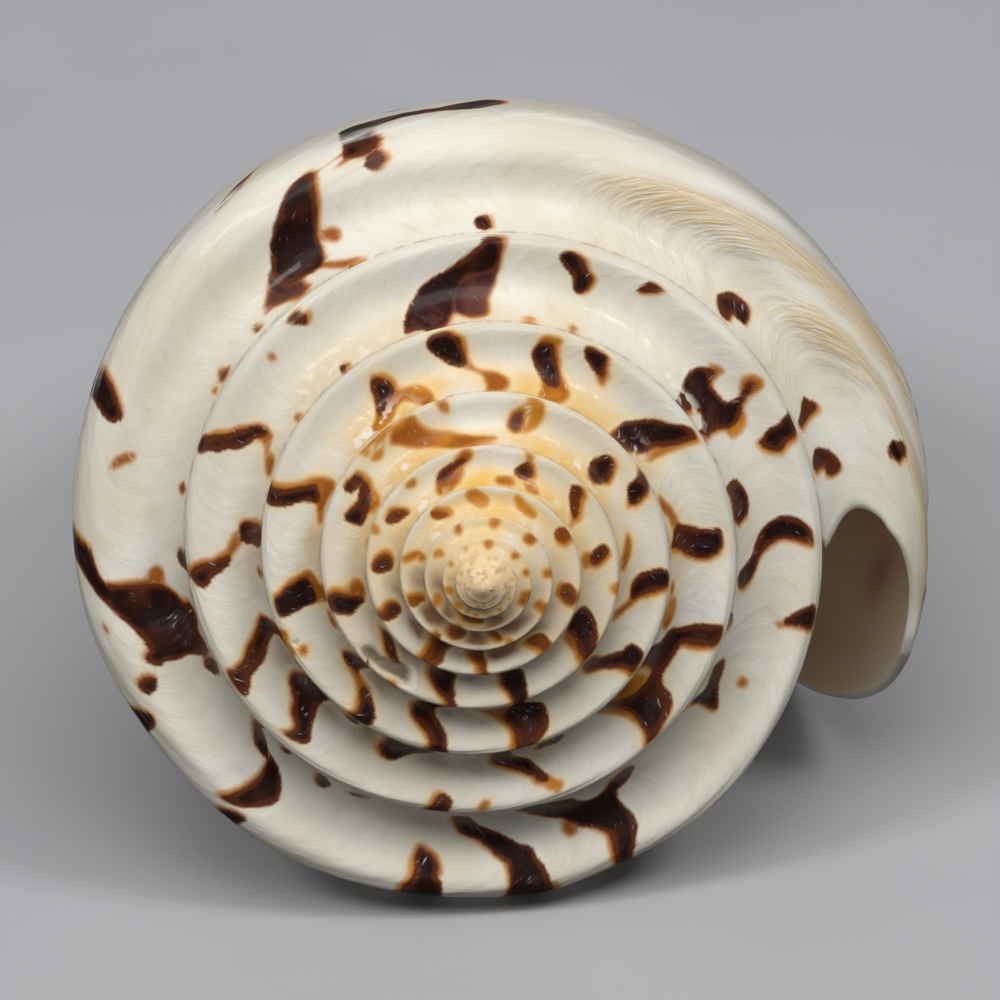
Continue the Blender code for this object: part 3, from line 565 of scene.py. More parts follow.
# How an outline is read: its units, how often its corners are cut, the share cut off,
# the spacing of the points along it, and how far from it depths are told, in mm. A
# mark on the lip goes round its edge to LIP_MARKS, where 1 is the inner face.
OUTLINE_UNITS = (0.001, 0.01)
CORNER_CUTS = 2
CORNER_SHARE = 0.18
OUTLINE_SPACING = 0.25
FAR = 0.7
SEARCH_MARGIN = 1.5
LIP_MARKS = 0.6

# How far the amber of a flame lies lipward of it, and how near a mark a face is cut
# along its deeper diagonal, in mm.
STAIN_SHIFT = 0.20
SPLIT_DEPTH = -0.35

# The fine growth lines sweep lipward over the shoulder: by how many turns, and where.
LINE_SWEEP = 0.075
SWEEP_PLACES = (0.68, 0.95)

# The tan ridges of the last turn: where each grew, its width and its strength.
TAN_RIDGES = (
    (0.174, 0.0035, 0.6),
    (0.166, 0.0030, 0.6),
    (0.158, 0.0060, 0.3),
    (0.151, 0.0030, 0.5),
    (0.137, 0.0040, 0.6),
    (0.190, 0.0080, 0.3),
    (0.088, 0.0030, 0.6),
    (0.080, 0.0060, 0.4),
    (0.066, 0.0030, 0.3),
    (0.170, 0.0260, 0.75),
    (0.181, 0.0025, 0.5),
    (0.144, 0.0025, 0.6),
    (0.130, 0.0030, 0.5),
    (0.100, 0.0030, 0.4),
    (0.094, 0.0025, 0.6),
    (0.083, 0.0150, 0.65),
)

# Heights of the relief, in mm, and how fast it fades with age.
SWELL_HEIGHT = 0.050
LINE_HEIGHT = 0.012
RIDGE_HEIGHT = 0.13
CREST_HEIGHT = 0.03
CHIP_DEPTH = 0.14
RELIEF_FADE = 0.22
LEAST_RELIEF = 0.1

# Where the sides of the shell lie that look up and down, in turns; the painted shade
# of the lower sutures is centred on the lower one. The places and widths of its smaller
# marks: the crest, the lilac shoulder by the lip, the painted glints at the foot of the
# upper ramps, and a brown stain inside the mouth.
UPPER_SIDE = 0.25
LOWER_SIDE = 0.69
CREST_ACROSS = (0.88, 0.07)
LILAC_ACROSS = (1.02, 0.10)
LILAC_GROWTH = (0.10, 0.16)
GLINT_PLACES = ((0.12, 0.030), (0.36, 0.035))
GLINT_TURNS = (0.5, 6)
MOUTH_SPOT_GROWTH = (0.048, 0.011)
MOUTH_SPOT_ACROSS = (1.165, 0.035)

# The stage. The camera's three axes, and where the tip of the spire comes in its view.
CAMERA_RIGHT = (0.9968, -0.0401, -0.0691)
CAMERA_UP = (0.0799, 0.5284, 0.8452)
CAMERA_BACK = (0.0027, -0.8481, 0.5299)
TIP_SHARE = (0.4726, 0.0010, 0.5765)
TIP_LEFT_OF_MIDDLE = 0.00081
TIP_BELOW_MIDDLE = 0.00454
CAMERA_DISTANCE = 1.6
CAMERA_REACH = 10.0
VIEW_WIDTH = 0.0499
FLOOR_SIZE = 8.0
SKY_STRENGTH = 0.12

# Each lamp's name, place, width and power. All of them look at the shell.
LAMPS = (
    ("left lamp", (-0.36, -0.23, 0.50), 0.14, 1.00),
    ("right lamp", (0.36, -0.23, 0.50), 0.14, 1.15),
    ("top lamp", (0.0, -0.29, 0.60), 0.44, 2.28),
    ("front lamp", (0.0, -0.95, 0.27), 0.50, 0.22),
    ("back lamp", (0.0, 0.90, 0.40), 0.50, 0.50),
)
LAMP_AIM = Vector((0, 0, 0.02))


def smooth_step(low, high, value, least=0.0):
    """Rises smoothly from `least` to 1 as the value goes from low to high."""
    share = np.clip((value - low) / (high - low), 0.0, 1.0)
    return least + (1.0 - least) * share * share * (3.0 - 2.0 * share)


def bell(value, place, width):
    """1 at a place, and nearly nothing two widths from it."""
    return np.exp(-(((value - place) / width) ** 2))


def blended(share, first, second):
    return first + (second - first) * share


def eased(share, width, start, start_slope, end, end_slope):
    """The height on a curve between two heights, with a given slope at each."""
    height = (1 + 2 * share) * (1 - share) ** 2 * start
    height += share * (1 - share) ** 2 * width * start_slope
    height += share**2 * (3 - 2 * share) * end
    return height + share**2 * (share - 1) * width * end_slope


def smooth_curve(points, where):
    """A curve through the points with no corners, read at each place in `where`."""
    xs, ys = np.array(points).T
    slopes = np.gradient(ys, xs)
    index = np.clip(np.searchsorted(xs, where, side="right") - 1, 0, len(xs) - 2)
    width = xs[index + 1] - xs[index]
    ends = ys[index], slopes[index], ys[index + 1], slopes[index + 1]
    return eased((where - xs[index]) / width, width, *ends)


class GrowthLaw:
    """Where the sheet of the shell lies, for any turn and any place across it."""

    def __init__(self, sizes):
        self.lip_radius = sizes.lip_radius
        self.length = sizes.shell_length - END_ROUNDING
        self.lip_wall = sizes.lip_wall

    def even_radius(self, turn):
        return self.lip_radius * np.exp(-SHRINK_PER_TURN * turn - SHRINK_GAIN * turn**2)

    def shoulder_radius(self, turn):
        gain = sum(amount * bell(turn, place, width) for place, width, amount in UNEVEN_GROWTH)
        return self.even_radius(turn) * (1 + gain)

    def shoulder_height(self, turn):
        radius = self.even_radius(turn)
        return -SPIRE_SLOPE * radius + SPIRE_EASE * radius**2

    def wall(self, turn):
        return blended(np.exp(-np.maximum(turn, 0.0) / WALL_TURNS), BODY_WALL, self.lip_wall)

    def shoulder_arc(self, turn, inset):
        """Centre, height and radius of the rounding between the ramp and the side."""
        age = smooth_step(*ROUNDING_TURNS, turn)
        radius = self.shoulder_radius(turn)
        side = radius * (1 + blended(age, LIP_SWELL, OLD_SWELL)) - inset
        outer = radius * blended(age, LIP_ROUNDING, OLD_ROUNDING)
        rounding = np.maximum(outer - inset, LEAST_ROUNDING * outer)
        top = self.shoulder_height(turn) - inset
        return side - rounding, top - rounding * math.sin(SHOULDER_START), rounding

    def side_point(self, turn, inset, depth):
        """Radius and height down the side; depth is 0 under the shoulder and 1 at the end."""
        centre, height, rounding = self.shoulder_arc(turn, inset)
        end_radius = TIP_RADIUS * np.exp(-TIP_SHRINK * turn) - inset
        share = depth - SIDE_EASE * (1 - np.exp(-depth / SIDE_EASE))
        share /= 1 - SIDE_EASE * (1 - math.exp(-1 / SIDE_EASE))
        return blended(share, centre + rounding, end_radius), blended(depth, height, -self.length)

    def ramp_point(self, turn, foot, edge, share):
        """A hollow ramp from its foot at the suture out to the edge of the shoulder."""
        width = edge[0] - foot[0]
        straight = (edge[1] - foot[1]) / width
        flush = smooth_step(*FLUSH_TURNS, turn)
        foot_slope = blended(smooth_step(*WORN_TURNS, turn), RAMP_FOOT_SLOPE, OLD_FOOT_SLOPE)
        foot_slope = blended(flush, foot_slope, straight)
        edge_slope = blended(flush, RAMP_EDGE_SLOPE, straight)
        height = eased(share, width, foot[1], foot_slope, edge[1], edge_slope)
        return foot[0] + width * share, height

    def section(self, turn, across, inner):
        """Radius and height at a turn and a place across, on the outer or inner face."""
        inset = self.wall(turn) if inner else 0.0 * turn
        centre, height, rounding = self.shoulder_arc(turn, inset)
        edge = (
            centre + rounding * math.cos(SHOULDER_START),
            height + rounding * math.sin(SHOULDER_START),
        )
        foot = self.side_point(turn + 1, 0.0 * turn, CORNER_DEPTH if inner else 0.0)
        ramp = self.ramp_point(turn, foot, edge, np.clip(across / RAMP_SHARE, 0, 1))
        bend = SHOULDER_START * (1 - np.clip((across - RAMP_SHARE) / (1 - RAMP_SHARE), 0, 1))
        rim = centre + rounding * np.cos(bend), height + rounding * np.sin(bend)
        side = self.side_point(turn, inset, np.clip(across - 1, 0, 1))
        end = np.clip((across - 2) / END_SHARE, 0, 1) * math.pi / 2
        turned_in = END_ROUNDING * (1 - np.cos(end)) * (-1 if inner else 1)
        side = side[0] - turned_in, side[1] - END_ROUNDING * np.sin(end)
        on_ramp, on_rim = across < RAMP_SHARE, across < 1
        return [np.where(on_ramp, ramp[n], np.where(on_rim, rim[n], side[n])) for n in (0, 1)]

    def points(self, turn, across, inner=False):
        turn, across = np.broadcast_arrays(np.asarray(turn, float), np.asarray(across, float))
        radius, height = self.section(turn, across, inner)
        angle = FULL_TURN * turn
        return np.column_stack([radius * np.cos(angle), radius * np.sin(angle), height])


def lead(across):
    """How far the growth line runs ahead of the suture, in turns."""
    return smooth_curve(LIP_OUTLINE, np.clip(across, 0, 2)) / 360


def line_growth(growth, across):
    """Growth as the fine lines show it: they sweep lipward over the shoulder."""
    return growth + LINE_SWEEP * smooth_step(*SWEEP_PLACES, across)


def across_of(row):
    """The place across the sheet of each row."""
    rows = (0, SHOULDER_ROW, CORNER_ROW, FINE_SIDE_ROW, LAST_ROW, RIM_ROW)
    places = (0, 1, 1 + CORNER_DEPTH, 1 + FINE_SIDE, 2, 2 + END_SHARE)
    return float(np.interp(row, rows, places))


def stride_at(sheet, row, step):
    """How many rows and steps one face spans at this place of a sheet."""
    if sheet == "outer":
        sheet = "side" if row > SHOULDER_ROW else "ramp"
    for last, stride in STRIDES[sheet]:
        if step <= last:
            return stride
    return STRIDES[sheet][-1][1]


class SheetMesh:
    """Collects points and faces, naming each point by its sheet, row and step.

    Where two turns are joined, one point has two names. Each corner of a face keeps
    its own name, so that colours end at the suture.
    """

    def __init__(self, law):
        self.law = law
        self.points = []
        self.names = {}
        self.places = []
        self.vertex = []
        self.faces = []

    def name(self, name, vertex, turn, across, inside):
        self.names[name] = len(self.vertex)
        self.vertex.append(vertex)
        self.places.append((turn, across, inside))

    def add_row(self, sheet, row, steps):
        inner = sheet == "inner"
        across = across_of(row)
        steps = [step for step in steps if self.wanted(sheet, row, step)]
        turn = np.array(steps) * STEP - lead(across)
        for step, point in zip(steps, self.law.points(turn, across, inner)):
            self.name((sheet, row, step), len(self.points), step * STEP, across, inner)
            self.points.append(point)

    def wanted(self, sheet, row, step):
        stride = stride_at(sheet, row, step)
        return step % stride == 0 and (row % stride == 0 or row > LAST_ROW)

    def vertex_of(self, name):
        return self.vertex[self.names[name]]

    def share_points(self, sheet, steps, other_row):
        """Where the suture lies on the turn before, gives its points a second name."""
        for step in steps:
            other = ("outer", other_row, step + SUTURE_SHIFT)
            if other in self.names:
                inside = sheet == "inner"
                self.name((sheet, 0, step), self.vertex_of(other), step * STEP, 0.0, inside)

    def face(self, names):
        corners = [self.names[name] for name in names if name in self.names]
        kept = []
        for n, corner in enumerate(corners):
            if self.vertex[corner] != self.vertex[corners[n - 1]]:
                kept.append(corner)
        if len(kept) > 2:
            self.faces.append(kept)

    def block(self, sheet, rows, steps, flip=False):
        """One face over a block of rows and steps, through every point round it."""
        (row, next_row), (step, next_step) = rows, steps
        ring = [(sheet, row, s) for s in range(step, next_step)]
        ring += [(sheet, r, next_step) for r in range(row, next_row)]
        ring += [(sheet, next_row, s) for s in range(next_step, step, -1)]
        ring += [(sheet, r, step) for r in range(next_row, row, -1)]
        self.face(ring if flip else ring[::-1])

    def patch(self, sheet, rows, last_step, flip=False):
        """Faces over a band of rows, from the lip back to a step."""
        step = 0
        while step < last_step:
            stride = stride_at(sheet, rows[1], step + 1)
            for row in range(rows[0], rows[1], stride):
                wide = self.foot_stride(sheet, row, step, stride)
                if step % wide == 0:
                    self.block(sheet, (row, row + stride), (step, step + wide), flip)
            step += stride

    def foot_stride(self, sheet, row, step, stride):
        """At the suture a face may have to span two steps, to meet the turn before."""
        ends = ("outer", 0, step), ("outer", 0, step + stride)
        if sheet == "outer" and row == 0 and not all(end in self.names for end in ends):
            return 2 * stride
        return stride


def grow_sheet(law):
    """The whole shell as one closed sheet."""
    mesh = SheetMesh(law)
    add_points(mesh)
    mesh.patch("outer", (0, SHOULDER_ROW), LAST_STEP)
    mesh.patch("outer", (SHOULDER_ROW, CORNER_ROW), SUTURE_SHIFT)
    mesh.patch("outer", (CORNER_ROW, LAST_ROW), SIDE_STEPS)
    mesh.patch("inner", (0, LAST_ROW), HOLLOW_STEPS, flip=True)
    add_lip(mesh)
    add_hollow_end(mesh)
    add_front_end(mesh)
    add_spire_tip(mesh)
    return mesh


def add_points(mesh):
    for row in range(1, SHOULDER_ROW + 1):
        mesh.add_row("outer", row, range(LAST_STEP + 1))
    free_start = LAST_STEP - SUTURE_SHIFT + 1
    mesh.add_row("outer", 0, range(free_start, LAST_STEP + 1))
    mesh.share_points("outer", range(free_start), SHOULDER_ROW)
    for row in range(SHOULDER_ROW + 1, RIM_ROW + 1):
        last = SUTURE_SHIFT if row < CORNER_ROW else SIDE_STEPS
        mesh.add_row("outer", row, range(last + 1))
    for row in range(1, RIM_ROW + 1):
        mesh.add_row("inner", row, range(HOLLOW_STEPS + 1))
    mesh.share_points("inner", range(HOLLOW_STEPS + 1), CORNER_ROW)
    add_lip_points(mesh)


def add_lip_points(mesh):
    """A rounded edge from the outer face to the inner one, all along the lip."""
    for row in range(RIM_ROW + 1):
        for k in range(LIP_ROWS + 1):
            if k in (0, LIP_ROWS):
                vertex = mesh.vertex_of(("inner" if k else "outer", row, 0))
            elif row == 0:
                vertex = mesh.vertex_of(("outer", SHOULDER_ROW + k, SUTURE_SHIFT))
            else:
                vertex = len(mesh.points)
                mesh.points.append(lip_point(mesh, row, k))
            mesh.name(("lip", row, k), vertex, 0.0, across_of(row), k / LIP_ROWS)


def lip_point(mesh, row, k):
    names = ("outer", row, 0), ("inner", row, 0), ("outer", row, 1)
    outer, inner, behind = (mesh.points[mesh.vertex_of(name)] for name in names)
    forward = (outer - behind) / np.linalg.norm(outer - behind)
    half = (outer - inner) / 2
    angle = math.pi * k / LIP_ROWS
    reach = np.linalg.norm(half) * math.sin(angle)
    return (outer + inner) / 2 + half * math.cos(angle) + forward * reach


def add_lip(mesh):
    for row in range(RIM_ROW):
        for k in range(LIP_ROWS):
            corners = (row, k), (row, k + 1), (row + 1, k + 1), (row + 1, k)
            mesh.face([("lip", *corner) for corner in corners])


def add_hollow_end(mesh):
    """Closes the hollow, between the last section of its roof and of its floor."""
    stride = STRIDES["inner"][-1][1]
    roof = [("inner", row, HOLLOW_STEPS) for row in range(0, LAST_ROW + 1, stride)]
    floor = [("outer", row, SIDE_STEPS) for row in range(CORNER_ROW, LAST_ROW + 1, stride)]
    extra = len(roof) - len(floor)
    for n in range(extra):
        mesh.face([floor[0], roof[n + 1], roof[n]])
    end_rows = range(LAST_ROW + 1, RIM_ROW + 1)
    roof = roof[extra:] + [("inner", row, HOLLOW_STEPS) for row in end_rows]
    floor += [("outer", row, SIDE_STEPS) for row in end_rows]
    for n in range(len(floor) - 1):
        mesh.face([floor[n], floor[n + 1], roof[n + 1], roof[n]])


def add_front_end(mesh):
    """The rounded rim of the front end, and the flat that it surrounds."""
    for sheet, last_step in (("outer", SIDE_STEPS), ("inner", HOLLOW_STEPS)):
        steps = [s for s in range(last_step + 1) if (sheet, LAST_ROW, s) in mesh.names]
        for row in range(LAST_ROW, RIM_ROW):
            for step, next_step in zip(steps, steps[1:]):
                mesh.block(sheet, (row, row + 1), (step, next_step), flip=sheet == "inner")
    ring = [("outer", RIM_ROW, s) for s in range(SIDE_STEPS + 1)]
    ring += [("inner", RIM_ROW, s) for s in range(HOLLOW_STEPS, -1, -1)]
    ring += [("lip", RIM_ROW, k) for k in range(LIP_ROWS - 1, 0, -1)]
    mesh.face(ring[::-1])


def add_spire_tip(mesh):
    """A small blunt cap over the first turn."""
    stride = STRIDES["ramp"][-1][1]
    rim = [("outer", 0, s) for s in range(LAST_STEP - SUTURE_SHIFT, LAST_STEP + 1)]
    rim += [("outer", row, LAST_STEP) for row in range(stride, SHOULDER_ROW, stride)]
    rim = [name for name in rim if name in mesh.names]
    rings = [rim]
    for ring in range(1, TIP_RINGS):
        share = math.cos(math.pi / 2 * ring / TIP_RINGS)
        shrink = np.array([share, share, share**TIP_BLUNTNESS])
        rings.append([("tip", ring, n) for n in range(len(rim))])
        for n, name in enumerate(rim):
            place = TURNS + n / len(rim), TIP_ACROSS, 0
            mesh.name(("tip", ring, n), len(mesh.points), *place)
            mesh.points.append(mesh.points[mesh.vertex_of(name)] * shrink)
    for ring, inner_ring in zip(rings, rings[1:]):
        for n in range(len(rim)):
            mesh.face([ring[n - 1], ring[n], inner_ring[n], inner_ring[n - 1]])
    top = ("tip", TIP_RINGS, 0)
    mesh.name(top, len(mesh.points), TURNS + 1, TIP_ACROSS, 0)
    mesh.points.append(np.zeros(3))
    for n in range(len(rim)):
        mesh.face([rings[-1][n - 1], rings[-1][n], top])


def resting_place(points):
    """The matrix that lays these points where the frame's shell lies.

    The mouth is down and the spire to the front, raised so that the side lies flat.
    """
    roll = Matrix.Rotation(REST_ROLL, 4, "Z")
    turn = Matrix.Rotation(math.pi / 2 - REST_PITCH, 4, "X") @ roll
    turned = points @ np.array(turn)[:3, :3].T
    low, high = Vector(turned.min(axis=0)), Vector(turned.max(axis=0))
    box_low, box_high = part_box("shell")
    move = (box_low + box_high) / 2 - (low + high) / 2
    move.z = box_high.z - high.z
    return Matrix.Translation(move) @ turn


def waves(*terms):
    """A sum of sines that stands in for chance, so that every run gives the same."""
    return sum(np.sin(term) for term in terms) / len(terms)


def tan_ridges(growth):
    return sum(share * bell(growth, place, width) for place, width, share in TAN_RIDGES)


def relief(growth, across):
    """Height of the worn surface over the plain growth law, in mm."""
    fade = np.clip(np.exp(-RELIEF_FADE * growth), LEAST_RELIEF, 1)
    growth = line_growth(growth, across)
    angle = FULL_TURN * growth
    sway = 0.4 * np.sin(angle * 7.3 + across) + 0.3 * np.sin(angle * 17.1)
    swells = waves(angle * 5.3 + 2 * across, angle * 11.7 + 1.3, angle * 19.1 - 3 * across)
    lines = waves(angle * 61 + 3 * sway, angle * 97 + 5 * sway)
    wavy = growth + 0.0022 * np.sin(9 * across + 2) + 0.0012 * np.sin(23 * across)
    ridges = tan_ridges(wavy) * smooth_step(0.0, 0.35, across)
    height = SWELL_HEIGHT * swells + LINE_HEIGHT * lines + RIDGE_HEIGHT * ridges
    height += CREST_HEIGHT * bell(across, *CREST_ACROSS)
    under_suture = smooth_step(0.93, 1.0, across) * (growth > SUTURE_SHIFT * STEP)
    return height * smooth_step(0.0, 0.12, across) * (1 - under_suture) * fade


def roughen(obj, mesh, amount):
    """Moves each point along its normal by the relief of the surface, times the amount."""
    count = len(mesh.points)
    first = np.full(count, -1)
    order = np.arange(len(mesh.vertex))[::-1]
    first[np.array(mesh.vertex)[order]] = order
    growth, across, inside = np.array(mesh.places)[first].T
    height = relief(growth, across) * (inside == 0) * (across <= 2)
    chip = smooth_step(-0.2, 0.3, depths(mesh, outlines(WORN_PATCHES))[first])
    height -= CHIP_DEPTH * chip * (1 + 0.5 * waves(growth * 900, across * 71, growth * 2300))
    normals = np.empty(count * 3)
    obj.data.vertex_normals.foreach_get("vector", normals)
    points = np.array(mesh.points) + normals.reshape(-1, 3) * height[:, None] * amount * MM
    obj.data.vertices.foreach_set("co", points.ravel())


def outlines(patches):
    """The corners of each patch, as turns and places across."""
    return [
        (np.array(patch).reshape(-1, 2) + (1000 * turn, 0)) * OUTLINE_UNITS
        for turn, group in patches.items()
        for patch in group
    ]


def rounded(ring):
    """The ring with its corners cut."""
    for _ in range(CORNER_CUTS):
        after = np.roll(ring, -1, axis=0)
        cut = CORNER_SHARE * (after - ring)
        ring = np.stack([ring + cut, after - cut], axis=1).reshape(-1, 2)
    return ring


def spaced(law, ring):
    """The closed ring again, with points no further apart than the spacing."""
    ring = np.vstack([ring, ring[:1]])
    knots = law.points(*ring.T) / MM
    along = np.append(0, np.cumsum(np.linalg.norm(np.diff(knots, axis=0), axis=1)))
    where = np.union1d(along, np.arange(0, along[-1], OUTLINE_SPACING))
    return np.column_stack([np.interp(where, along, column) for column in ring.T])


def within(ring, turn, across):
    """Which places lie inside a ring, by counting the edges to one side of each."""
    (turn_a, across_a), (turn_b, across_b) = ring[:-1].T, ring[1:].T
    crossed = (across_a > across[:, None]) != (across_b > across[:, None])
    rise = np.where(across_a == across_b, 1.0, across_b - across_a)
    where = turn_a + (across[:, None] - across_a) * (turn_b - turn_a) / rise
    return (crossed & (turn[:, None] < where)).sum(axis=1) % 2 == 1


def gaps(points, path):
    """How far each point is from a path of straight pieces."""
    start, piece = path[:-1], np.diff(path, axis=0)
    offset = points[:, None] - start
    share = (offset * piece).sum(axis=2) / np.maximum((piece**2).sum(axis=1), TINY)
    nearest = offset - np.clip(share, 0, 1)[..., None] * piece
    return np.linalg.norm(nearest, axis=2).min(axis=1)


def depths(mesh, rings, forward=0.0):
    """How deep inside the rings each named point lies, in mm, and below 0 outside.

    `forward` moves the rings towards the lip, in mm.
    """
    growth, across, inside = np.array(mesh.places).T
    turn = growth - lead(across)
    position = mesh.unworn[mesh.vertex] / MM
    depth = np.full(len(turn), -FAR)
    for ring in rings:
        radius = mesh.law.shoulder_radius(ring[:, 0].mean()) / MM
        ring = spaced(mesh.law, rounded(ring)) - (forward / (FULL_TURN * radius), 0)
        margin = SEARCH_MARGIN * FAR / (np.array([FULL_TURN, RAMP_WIDTH]) * radius)
        low, high = ring.min(axis=0) - margin, ring.max(axis=0) + margin
        near = (turn > low[0]) & (turn < high[0]) & (across > low[1]) & (across < high[1])
        near = np.flatnonzero(near & (inside < LIP_MARKS))
        gap = gaps(position[near], mesh.law.points(*ring.T) / MM)
        sign = np.where(within(ring, turn[near], across[near]), 1, -1)
        depth[near] = np.maximum(depth[near], sign * gap)
    return depth


def side_flame(law, n, band):
    """The outline of one flame in one band across the side."""
    growth, half = SIDE_FLAMES[n]
    start, end = SIDE_BANDS[band]
    growth += FLAME_SHIFT * math.sin(2.1 * n + 1.7 * band)
    start += BAND_SHIFT * math.sin(1.3 * n + 2.0 * band)
    end += BAND_SHIFT * math.sin(2.9 * n + 0.8 * band)
    places = np.linspace(start, end, FLAME_PLACES)
    sway = 0.010 * np.sin(19 * places + 1.9 * n) + 0.004 * np.sin(57 * places + 2.7 * n + band)
    turns = growth + sway - lead(places)
    widths = FLAME_WIDTHS[(n + band) % len(FLAME_WIDTHS)]
    widths = np.interp(places, np.linspace(start, end, len(widths)), widths)
    widths *= half * MM / (FULL_TURN * law.section(turns, places, False)[0])
    back = turns + widths * (1 + EDGE_WAVES * np.sin(61 * places + n))
    front = turns - widths * (1 + EDGE_WAVES * np.sin(43 * places + 2 * n))
    return np.column_stack([np.append(back, front[::-1]), np.append(places, places[::-1])])


def old_spot(n):
    """The outline of one small spot on the oldest turns."""
    angle = np.arange(8) * math.pi / 4
    turn = FIRST_SPOT + SPOT_SPACING * n + 0.012 * math.sin(2.3 * n)
    across = 0.50 + 0.06 * math.sin(1.7 * n)
    return (turn, across) + SPOT_SIZE * np.column_stack([np.cos(angle), np.sin(angle)])


def split_faces(mesh, depth):
    """Cuts each four-sided face along its deeper diagonal, so that thin marks stay whole."""
    faces = []
    for face in mesh.faces:
        if len(face) != 4 or max(depth[corner] for corner in face) < SPLIT_DEPTH:
            faces.append(face)
            continue
        a, b, c, d = face
        if depth[a] + depth[c] > depth[b] + depth[d]:
            faces += [[a, b, c], [a, c, d]]
        else:
            faces += [[a, b, d], [b, c, d]]
    mesh.faces = faces


def mark_depths(mesh):
    """How deep each point lies in the dark flames, the amber stains and the violet ones."""
    bands = range(len(SIDE_BANDS))
    flames = [side_flame(mesh.law, n, band) for n in range(len(SIDE_FLAMES)) for band in bands]
    flames = outlines(DARK_PATCHES) + flames
    stains = outlines(AMBER_PATCHES) + [old_spot(n) for n in range(OLD_SPOTS)]
    violet = depths(mesh, outlines(VIOLET_PATCHES))
    amber = np.maximum(depths(mesh, stains), depths(mesh, flames, STAIN_SHIFT))
    return {"dark": depths(mesh, flames), "amber": np.maximum(amber, violet), "violet": violet}


def suture_glaze(growth, across):
    """Yellow glaze in the sutures of the upper side."""
    foot = smooth_step(0.42, 0.03, across - 0.6 * smooth_step(3.5, 6.5, growth))
    upper = 0.5 + 0.5 * np.cos(FULL_TURN * (growth - UPPER_SIDE))
    age = smooth_step(0.7, 2.6, growth) * (1 - 0.4 * smooth_step(4, 6, growth))
    return foot * upper**1.5 * age * (1 - smooth_step(7.0, 8.5, growth))


def lower_suture_shade(growth, across):
    """Painted shade: brown at the foot of each ramp on the lower side, under the rim above,
    heavier on the older turns.
    """
    foot = smooth_step(0.45, 0.05, across - 0.3 * smooth_step(3.5, 6.5, growth))
    lower = 0.5 + 0.5 * np.cos(FULL_TURN * (growth - LOWER_SIDE))
    age = smooth_step(0.4, 1.3, growth) * (1 + 1.4 * smooth_step(3.5, 5.5, growth))
    return foot * lower**3 * age * (1 - 0.8 * smooth_step(7.4, 8.6, growth))


def painted_suture_glints(growth, across):
    """Painted glints: white spots at the foot of the upper ramps, where the lamps shine back off
    the glaze.
    """
    foot = smooth_step(0.24, 0.10, across) * smooth_step(0.0, 0.03, across)
    glints = sum(bell(growth % 1, place, width) for place, width in GLINT_PLACES)
    return glints * foot * (growth > GLINT_TURNS[0]) * (growth < GLINT_TURNS[1])


def paint(data, mesh, marks):
    """Writes what the material reads: where each corner grew, and its marks."""
    corners = np.concatenate([np.array(face) for face in mesh.faces])
    growth, across, inside = np.array(mesh.places).T
    outside = inside == 0
    lines = line_growth(growth, across)
    tan = np.clip(tan_ridges(lines), 0, 1) * smooth_step(0.30, 0.80, across, 0.15)
    spot = bell(growth, *MOUTH_SPOT_GROWTH) * bell(across, *MOUTH_SPOT_ACROSS)
    values = {
        **marks,
        "worn": depths(mesh, outlines(WORN_PATCHES)),
        "tan": tan * outside,
        "glaze": suture_glaze(growth, across) * outside,
        "soot": lower_suture_shade(growth, across) * outside,
        "fleck": painted_suture_glints(growth, across),
        "lilac": 0.5 * bell(across, *LILAC_ACROSS) * bell(growth, *LILAC_GROWTH),
        "inside": inside,
        "spot": inside * spot,
    }
    layer = data.uv_layers.new(name="growth")
    places = np.column_stack([lines, across])[corners]
    layer.data.foreach_set("uv", places.ravel().astype(np.float32))
    for name, value in values.items():
        attribute = data.attributes.new(name, "FLOAT", "CORNER")
        attribute.data.foreach_set("value", value[corners].astype(np.float32))


class Shading:
    """A material, with short ways to add and join its nodes."""

    def __init__(self, name):
        self.material = bpy.data.materials.new(name)
        self.material.use_nodes = True
        self.nodes = self.material.node_tree.nodes
        self.shader = self.nodes["Principled BSDF"]
        self.solid = self.add("ShaderNodeTexCoord").outputs["Object"]

    def add(self, kind, inputs=(), **settings):
        node = self.nodes.new(kind)
        for name, value in settings.items():
            setattr(node, name, value)
        for socket, value in dict(inputs).items():
            self.join(value, node.inputs[socket])
        return node

    def join(self, value, socket):
        if isinstance(value, bpy.types.NodeSocket):
            self.material.node_tree.links.new(value, socket)
        else:
            socket.default_value = value

    def settle(self, **values):
        """Sets or joins the shader's own sockets, named with _ for each space."""
        for name, value in values.items():
            self.join(value, self.shader.inputs[name.replace("_", " ")])

    def attribute(self, name):
        return self.add("ShaderNodeAttribute", attribute_name=name).outputs["Fac"]

    def chain(self, operation, values):
        result = values[0]
        for value in values[1:]:
            node = self.add("ShaderNodeMath", {0: result, 1: value}, operation=operation)
            result = node.outputs[0]
        return result

    def plus(self, *values):
        return self.chain("ADD", values)

    def times(self, *values):
        return self.chain("MULTIPLY", values)

    def about(self, noise, amount):
        """The noise, shifted to swing evenly about nothing."""
        return self.times(self.chain("SUBTRACT", (noise, 0.5)), amount)

    def step(self, value, low, high, least=0.0, most=1.0):
        """Rises smoothly from `least` to `most` as the value goes from low to high."""
        names = ("Value", "From Min", "From Max", "To Min", "To Max")
        inputs = zip(names, (value, low, high, least, most))
        return self.add("ShaderNodeMapRange", inputs, interpolation_type="SMOOTHSTEP").outputs[0]

    def mix(self, share, first, second):
        inputs = {0: share, 6: first, 7: second}
        return self.add("ShaderNodeMix", inputs, data_type="RGBA").outputs[2]

    def noise(self, scale, detail=2.0, vector=None):
        vector = self.solid if vector is None else vector
        inputs = {"Vector": vector, "Scale": scale, "Detail": detail}
        return self.add("ShaderNodeTexNoise", inputs).outputs["Fac"]

    def stretched(self, vector, scale):
        return self.add("ShaderNodeMapping", {"Vector": vector, "Scale": scale}).outputs["Vector"]


